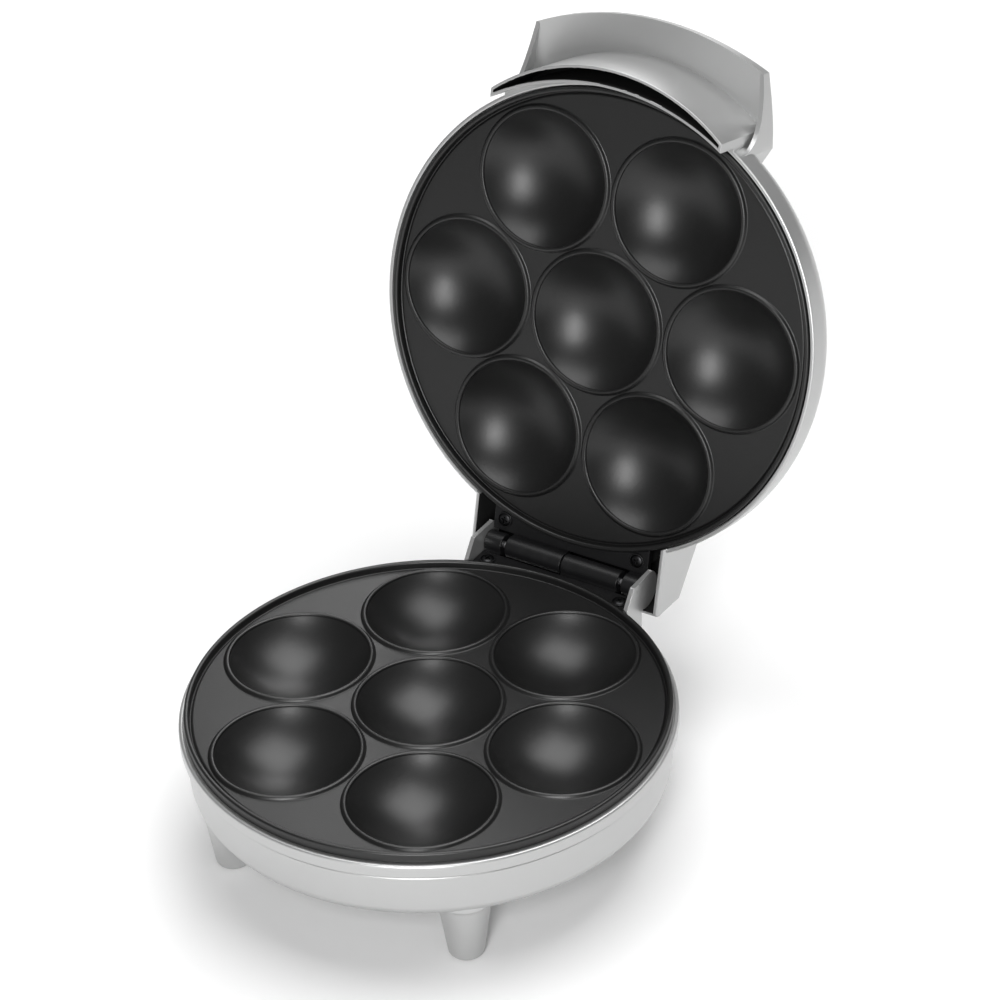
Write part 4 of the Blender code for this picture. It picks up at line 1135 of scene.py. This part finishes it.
# ------------------------------------------------------------------ lid
@dataclass
class Lid(Assembly):
    """Silver lid: dome, handle hood, front duct and hinge box in one moulding."""

    rim: Sequence[Flat] = (
        (95.92, 3.2), (95.92, 2.4), (96.05, 2.12), (96.35, 2.0), (96.9, 2.0), (97.3, 2.08),
        (97.6, 2.35), (97.7, 2.8))
    tip_radius: float = 121.6
    room_radius: float = 130.6
    tip_half: float = 51.3
    root_half: float = 54.7
    duct_centre: Flat = (0.0, -24.7)
    duct_outer: float = 81.5
    duct_half: float = 51.7
    box_half: float = 45.0
    wall: float = 1.8
    lamp_x: float = 9.0 * MM
    lamp_y: float = -78.1 * MM

    def dome(self) -> bpy.types.Object:
        """Spin the dome.

        Returns:
            The dome.
        """
        outer = [(66.0 + 31.7 * math.cos(a), 10.0 + 21.2 * math.sin(a))
                 for a in (math.radians(90.0 * i / 26) for i in range(27))]
        inner = [(66.0 + 29.9 * math.sin(a), 10.0 + 19.4 * math.cos(a))
                 for a in (math.radians(90.0 * i / 14) for i in range(15))]
        top = [(44.0, 31.47), (22.0, 31.7), (0.0, 31.8), (0.0, 30.0)]
        ledge = [(95.9, 9.5), (92.6, 7.9), (92.6, 6.1), (95.92, 6.1)]
        return Bench.turn("dome", mm(list(self.rim) + outer + top + inner + ledge), 192, loop=True)

    def core(self) -> bpy.types.Object:
        """Spin a cutter just smaller than the dome's inside.

        Returns:
            The cutter.
        """
        low = [(0.0, -1.0), (95.86, -1.0), (95.86, 6.04), (92.54, 6.04), (92.54, 7.96), (95.80, 9.6)]
        curve = [(66.0 + 29.84 * math.cos(a), 10.0 + 19.34 * math.sin(a))
                 for a in (math.radians(90.0 * i / 14) for i in range(15))]
        return Bench.paint(Bench.turn("core", mm(low + curve + [(0.0, 29.9)]), 192), Finish.SILVER)

    def hood_plan(self, inset: float) -> list[Flat]:
        """Draw the handle from above.

        Args:
            inset: 0 for the hood itself, or the wall for the finger room, which runs out past the tip.

        Returns:
            The outline.
        """
        half = self.tip_half - inset
        root = self.root_half - inset
        reach = self.room_radius if inset else self.tip_radius
        edge = math.degrees(math.asin(half / reach))
        tip = arc((0.0, 0.0), reach, -90.0 - edge, -90.0 + edge, 40)
        corner = -math.sqrt(self.tip_radius ** 2 - self.tip_half ** 2)
        sides: list[Flat] = []
        for i in range(1, 13):
            t = i / 12
            sides.append((half + (root - half) * math.sin(t * math.pi / 2), corner + (-79.8 - corner) * t))
        back = [(root * 0.86, -66.0), (-root * 0.86, -66.0)]
        return mm(tip + sides + back + [(-x, y) for x, y in reversed(sides)])

    def hood_side(self) -> list[Flat]:
        """Draw the handle from the side.

        Returns:
            The outline.
        """
        corner = -math.sqrt(self.tip_radius ** 2 - self.tip_half ** 2)
        foot = -math.sqrt(97.7 ** 2 - self.root_half ** 2)
        sweep = []
        for i in range(25):
            a = math.pi / 2 * i / 24
            height = 2.6 + 18.4 * max(0.0, math.cos(a)) ** 0.72
            sweep.append((corner + (foot - corner) * math.sin(a) ** 0.9, height))
        top = [(-66.0, 31.2), (-72.0, 31.1), (-79.8, 30.5), (-88.0, 29.2), (-104.0, 26.6), (-123.6, 23.7)]
        return mm(top + [(-123.6, 21.0), (corner - 2.0, 21.0)] + sweep + [(-66.0, 2.6)])

    def recess(self) -> bpy.types.Object:
        """Make the cutter for the finger room under the handle.

        Returns:
            The cutter.
        """
        slab = Bench.slab("recess", self.hood_plan(self.wall), -14 * MM, 36 * MM)
        section = mm([(0.0, -16.0), (150.0, -16.0), (150.0, 11.0), (95.2, 24.7), (0.0, 24.7)])
        roof = Bench.turn("roof", section, 192)
        roof.location = (0.0, -12.8 * MM, 0.0)
        Bench.settle(roof)
        return Bench.combine(slab, roof, "INTERSECT")

    def hood(self) -> bpy.types.Object:
        """Make the hollow handle hood.

        Returns:
            The hood.
        """
        hood = Bench.slab("hood", self.hood_plan(0.0), -14 * MM, 36 * MM)
        side = Bench.slab("hood_side", self.hood_side(), -80 * MM, 80 * MM, "X")
        Bench.combine(hood, side, "INTERSECT")
        Bench.cut(hood, self.recess())
        Bench.soften(hood, 0.8 * MM, 4, 38.0)
        section = mm([(0.0, -16.0), (97.0, -16.0), (97.0, 9.6), (94.9, 14.6), (90.5, 21.0), (84.0, 26.2),
                      (76.0, 29.6), (66.0, 30.6), (0.0, 30.6)])
        return Bench.cut(hood, Bench.turn("dome_room", section, 128))

    def duct_plan(self, outer: float, inner: float, half: float) -> list[Flat]:
        """Draw the crescent between the bowed front wall and the round back wall.

        Args:
            outer: Radius of the front wall.
            inner: Radius of the back wall.
            half: Half the crescent's width.

        Returns:
            The outline.
        """
        edge = math.degrees(math.asin(half / outer))
        back = math.degrees(math.asin(half / inner))
        front = arc(self.duct_centre, outer, -90.0 - edge, -90.0 + edge, 60)
        return mm(front + arc((0.0, 0.0), inner, -90.0 + back, -90.0 - back, 60))

    def duct(self) -> bpy.types.Object:
        """Make the crescent duct in front of the rim.

        Returns:
            The duct.
        """
        low_plan = self.duct_plan(self.duct_outer, 98.6, self.duct_half)
        top_plan = self.duct_plan(self.duct_outer, 96.8, self.duct_half)
        room_plan = self.duct_plan(self.duct_outer - 1.2, 99.8, self.duct_half - 1.3)
        lower = Bench.slab("duct", low_plan, -9.3 * MM, 4.0 * MM)
        upper = Bench.slab("duct_top", top_plan, 2.05 * MM, 25.1 * MM)
        Bench.paint(Bench.join(lower, upper), Finish.SILVER)
        hollow = Bench.slab("hollow", room_plan, -14 * MM, 21.7 * MM)
        # The duct's inner walls get the near-black inside finish: black plastic, and painted shade inside
        # the duct.
        Bench.cut(lower, Bench.paint(hollow, Finish.INSIDE))
        return Bench.soften(lower, 0.3 * MM, 3, 60.0)

    def box_outline(self, inset: float) -> list[Flat]:
        """Draw the hinge box from the side.

        Args:
            inset: 0 for the box itself, or the wall for its room, which is open below.

        Returns:
            The outline.
        """
        low = -2.5 if inset else 0.5
        front = 80.8 + inset
        back = 115.2 - inset
        heel = back if inset else back - 0.7
        return mm([(front, 30.8 - inset), (90.2 - 0.4 * inset, 30.8 - inset),
                   (112.2 - inset, 19.8 - 0.6 * inset), (back, 3.0), (heel, low), (front, low)])

    def box_room(self) -> bpy.types.Object:
        """Make the cutter for the hinge box's room, with the unlit finish.

        Returns:
            The cutter.
        """
        half = (self.box_half - self.wall) * MM
        room = Bench.slab("box_room", self.box_outline(self.wall), -half, half, "X")
        return Bench.paint(room, Finish.INSIDE)

    def box(self) -> bpy.types.Object:
        """Make the open-bottomed hinge box.

        Returns:
            The box.
        """
        half = self.box_half * MM
        box = Bench.slab("box", self.box_outline(0.0), -half, half, "X")
        Bench.paint(Bench.soften(box, 1.1 * MM, 4, 20.0), Finish.SILVER)
        return Bench.cut(box, self.box_room())

    def build(self) -> bpy.types.Object:
        """Build the whole lid moulding in closed position.

        Returns:
            The moulding.
        """
        dome = Bench.paint(self.dome(), Finish.SILVER)
        hood = Bench.paint(self.hood(), Finish.SILVER)
        Bench.join(dome, hood, self.duct(), self.box())
        Bench.cut(dome, self.core(), self.box_room())
        for side in (-1, 1):
            x = side * self.layout.screw_x
            y = self.layout.screw_y
            post = Bench.rod("post", (x, y, 7.0 * MM), (x, y, 28.0 * MM), 3.8 * MM, 40)
            # The posts get the near-black inside finish: black plastic, and painted shade inside the lid.
            Bench.join(dome, Bench.paint(post, Finish.INSIDE))
            x = side * self.lamp_x
            y = self.lamp_y
            hole = Bench.rod("lamp_hole", (x, y, 23.4 * MM), (x, y, 35 * MM), 3.5 * MM, 48)
            Bench.cut(dome, hole)
        return dome

    def lamps(self) -> None:
        """Make the two lamp lenses."""
        section = mm([(0.0, 31.4), (1.2, 31.36), (2.2, 31.22), (2.8, 30.98), (3.1, 30.6), (3.2, 30.1),
                      (3.2, 23.71), (0.0, 23.71)])
        for side, name, finish in ((-1, "power_lamp", Finish.RED), (1, "ready_lamp", Finish.GREEN)):
            lens = Bench.paint(Bench.turn(name, section, 64), finish)
            move = self.layout.lid() @ Matrix.Translation((side * self.lamp_x, self.lamp_y, 0.0))
            self.deliver(lens, name, move, "lid", [name + "_lens"], finish.value.name)

    def dress(self) -> None:
        """Make the lid moulding and its lamps."""
        self.deliver(self.build(), "lid_shell", self.layout.lid(), "lid", ["lid_housing"], "silver_shell")
        self.lamps()


# ------------------------------------------------------------------ inside pieces
@dataclass
class Inside:
    """CAD nodes that stay as they are and only get a finish."""

    finishes: dict[str, Finish] = field(default_factory=lambda: {
        "element": Finish.DARK_STEEL, "shield_screw": Finish.STEEL, "plate_screw": Finish.STEEL,
        "heat_shield": Finish.SHEET, "hinge_pin": Finish.STEEL, "thermostat": Finish.STEEL,
        "fuse": Finish.CERAMIC, "block": Finish.CERAMIC, "board": Finish.CERAMIC, "lead_": Finish.SLEEVE})

    def dress(self) -> None:
        """Give every node that no piece replaces its finish."""
        for name, node in frame["nodes"].items():
            for part, finish in self.finishes.items():
                if part in name:
                    for slot in node.material_slots:
                        slot.material = finish.material()
                    LOG.info("%s wears %s", name, finish.name)


# ------------------------------------------------------------------ studio
@dataclass
class Studio:
    """Pale floor, soft lamps and the camera.

    The camera's place is measured from the middle of the base plate, at cup height.
    """

    layout: Layout
    azimuth: float = math.radians(32.758)
    height: float = math.radians(33.387)
    roll: float = math.radians(-2.105)
    distance: float = 1.26662
    lens: float = 116.994
    across: float = 30.724 * MM
    upward: float = 76.815 * MM

    def camera(self) -> None:
        """Set the camera."""
        a = self.azimuth
        e = self.height
        back = Vector((math.sin(a) * math.cos(e), -math.cos(a) * math.cos(e), math.sin(e)))
        right = Vector((math.cos(a), math.sin(a), 0.0))
        up = back.cross(right)
        place = back * self.distance + right * self.across + up * self.upward + self.layout.shift
        tilted_right = right * math.cos(self.roll) + up * math.sin(self.roll)
        tilted_up = up * math.cos(self.roll) - right * math.sin(self.roll)
        data = bpy.data.cameras.new("camera")
        data.lens = self.lens
        data.sensor_width = 36.0
        data.clip_end = 20.0
        camera = bpy.data.objects.new("camera", data)
        bpy.context.scene.collection.objects.link(camera)
        turn = Matrix((tilted_right, tilted_up, back)).transposed().to_4x4()
        camera.matrix_world = Matrix.Translation(place) @ turn
        bpy.context.scene.camera = camera

    def lamp(self, name: str, azimuth: float, height: float, distance: float, size: Flat,
             power: float) -> None:
        """Add one soft lamp aimed at the object.

        Args:
            name: The lamp's name.
            azimuth: Degrees round from the front, to the right.
            height: Degrees above the floor.
            distance: Metres from the object.
            size: Width and height in metres.
            power: Watts.
        """
        a = math.radians(azimuth)
        e = math.radians(height)
        aim = Vector((0.0, 0.02, 0.08))
        place = aim + distance * Vector((math.sin(a) * math.cos(e), -math.cos(a) * math.cos(e), math.sin(e)))
        data = bpy.data.lights.new(name, "AREA")
        data.shape = "RECTANGLE"
        data.size = size[0]
        data.size_y = size[1]
        data.energy = power
        item = bpy.data.objects.new(name, data)
        bpy.context.scene.collection.objects.link(item)
        turn = (place - aim).to_track_quat("Z", "Y").to_matrix().to_4x4()
        item.matrix_world = Matrix.Translation(place) @ turn

    def world(self) -> None:
        """Light from all round, seen as white."""
        world = bpy.data.worlds.new("studio")
        bpy.context.scene.world = world
        world.use_nodes = True
        tree = world.node_tree
        sky = tree.nodes["Background"]
        path = tree.nodes.new("ShaderNodeLightPath")
        seen = tree.nodes.new("ShaderNodeMath")
        seen.operation = "MAXIMUM"
        tree.links.new(path.outputs["Is Camera Ray"], seen.inputs[0])
        tree.links.new(path.outputs["Is Transmission Ray"], seen.inputs[1])
        strength = tree.nodes.new("ShaderNodeMapRange")
        tree.links.new(seen.outputs[0], strength.inputs["Value"])
        strength.inputs["To Min"].default_value = 0.12
        strength.inputs["To Max"].default_value = 1.0
        tree.links.new(strength.outputs[0], sky.inputs["Strength"])
        sky.inputs["Color"].default_value = (1.0, 1.0, 1.0, 1.0)

    def floor(self) -> None:
        """Lay the floor, white to the eye and with the object's shadow."""
        bpy.ops.object.select_all(action="DESELECT")
        bpy.ops.mesh.primitive_plane_add(size=12.0, location=(0.0, 0.0, -0.0002))
        floor = bpy.context.object
        floor.name = "floor"
        Bench.settle(floor)
        g = Graph("floor")
        mottle = g.noise(2.5, 3.0)
        g.feed("Base Color", g.blend(mottle, shade(0.86), shade(0.88)))
        g.feed("Roughness", 0.8)
        g.feed("Specular IOR Level", 0.1)
        reach = g.node("ShaderNodeVectorMath", {"operation": "LENGTH"}, {0: g.place()}, "Value")
        seen = g.node("ShaderNodeLightPath", {}, {}, "Is Camera Ray")
        mirrored = g.node("ShaderNodeLightPath", {}, {}, "Is Glossy Ray")
        lift = (seen + mirrored * 0.35) * (reach.clamp(0.45, 1.6) + 0.05)
        glow = g.node("ShaderNodeEmission", {}, {"Strength": lift}, "Emission")
        total = g.node("ShaderNodeAddShader", {}, (Wire(g, g.shader.outputs[0]), glow))
        g.tree.links.new(total.socket, g.tree.nodes["Material Output"].inputs["Surface"])
        floor.data.materials.append(g.material)

    def dress(self) -> None:
        """Set up the whole studio."""
        self.camera()
        self.world()
        self.floor()
        self.lamp("key", 24.0, 26.0, 1.4, (0.34, 0.85), 14.0)
        self.lamp("top", 180.0, 78.0, 1.5, (1.3, 1.3), 22.0)
        self.lamp("rear", -155.0, 32.0, 1.7, (0.9, 0.8), 7.0)
        view = bpy.context.scene.view_settings
        view.view_transform = "Standard"


def main() -> None:
    """Build the studio, then each sub-assembly in order."""
    logging.basicConfig(level=logging.INFO, format="%(message)s")
    layout = Layout()
    Studio(layout).dress()
    CupPlate(layout).dress()
    Base(layout).dress()
    Hinge(layout).dress()
    Lid(layout).dress()
    Inside().dress()


if __name__ == "__main__":
    main()
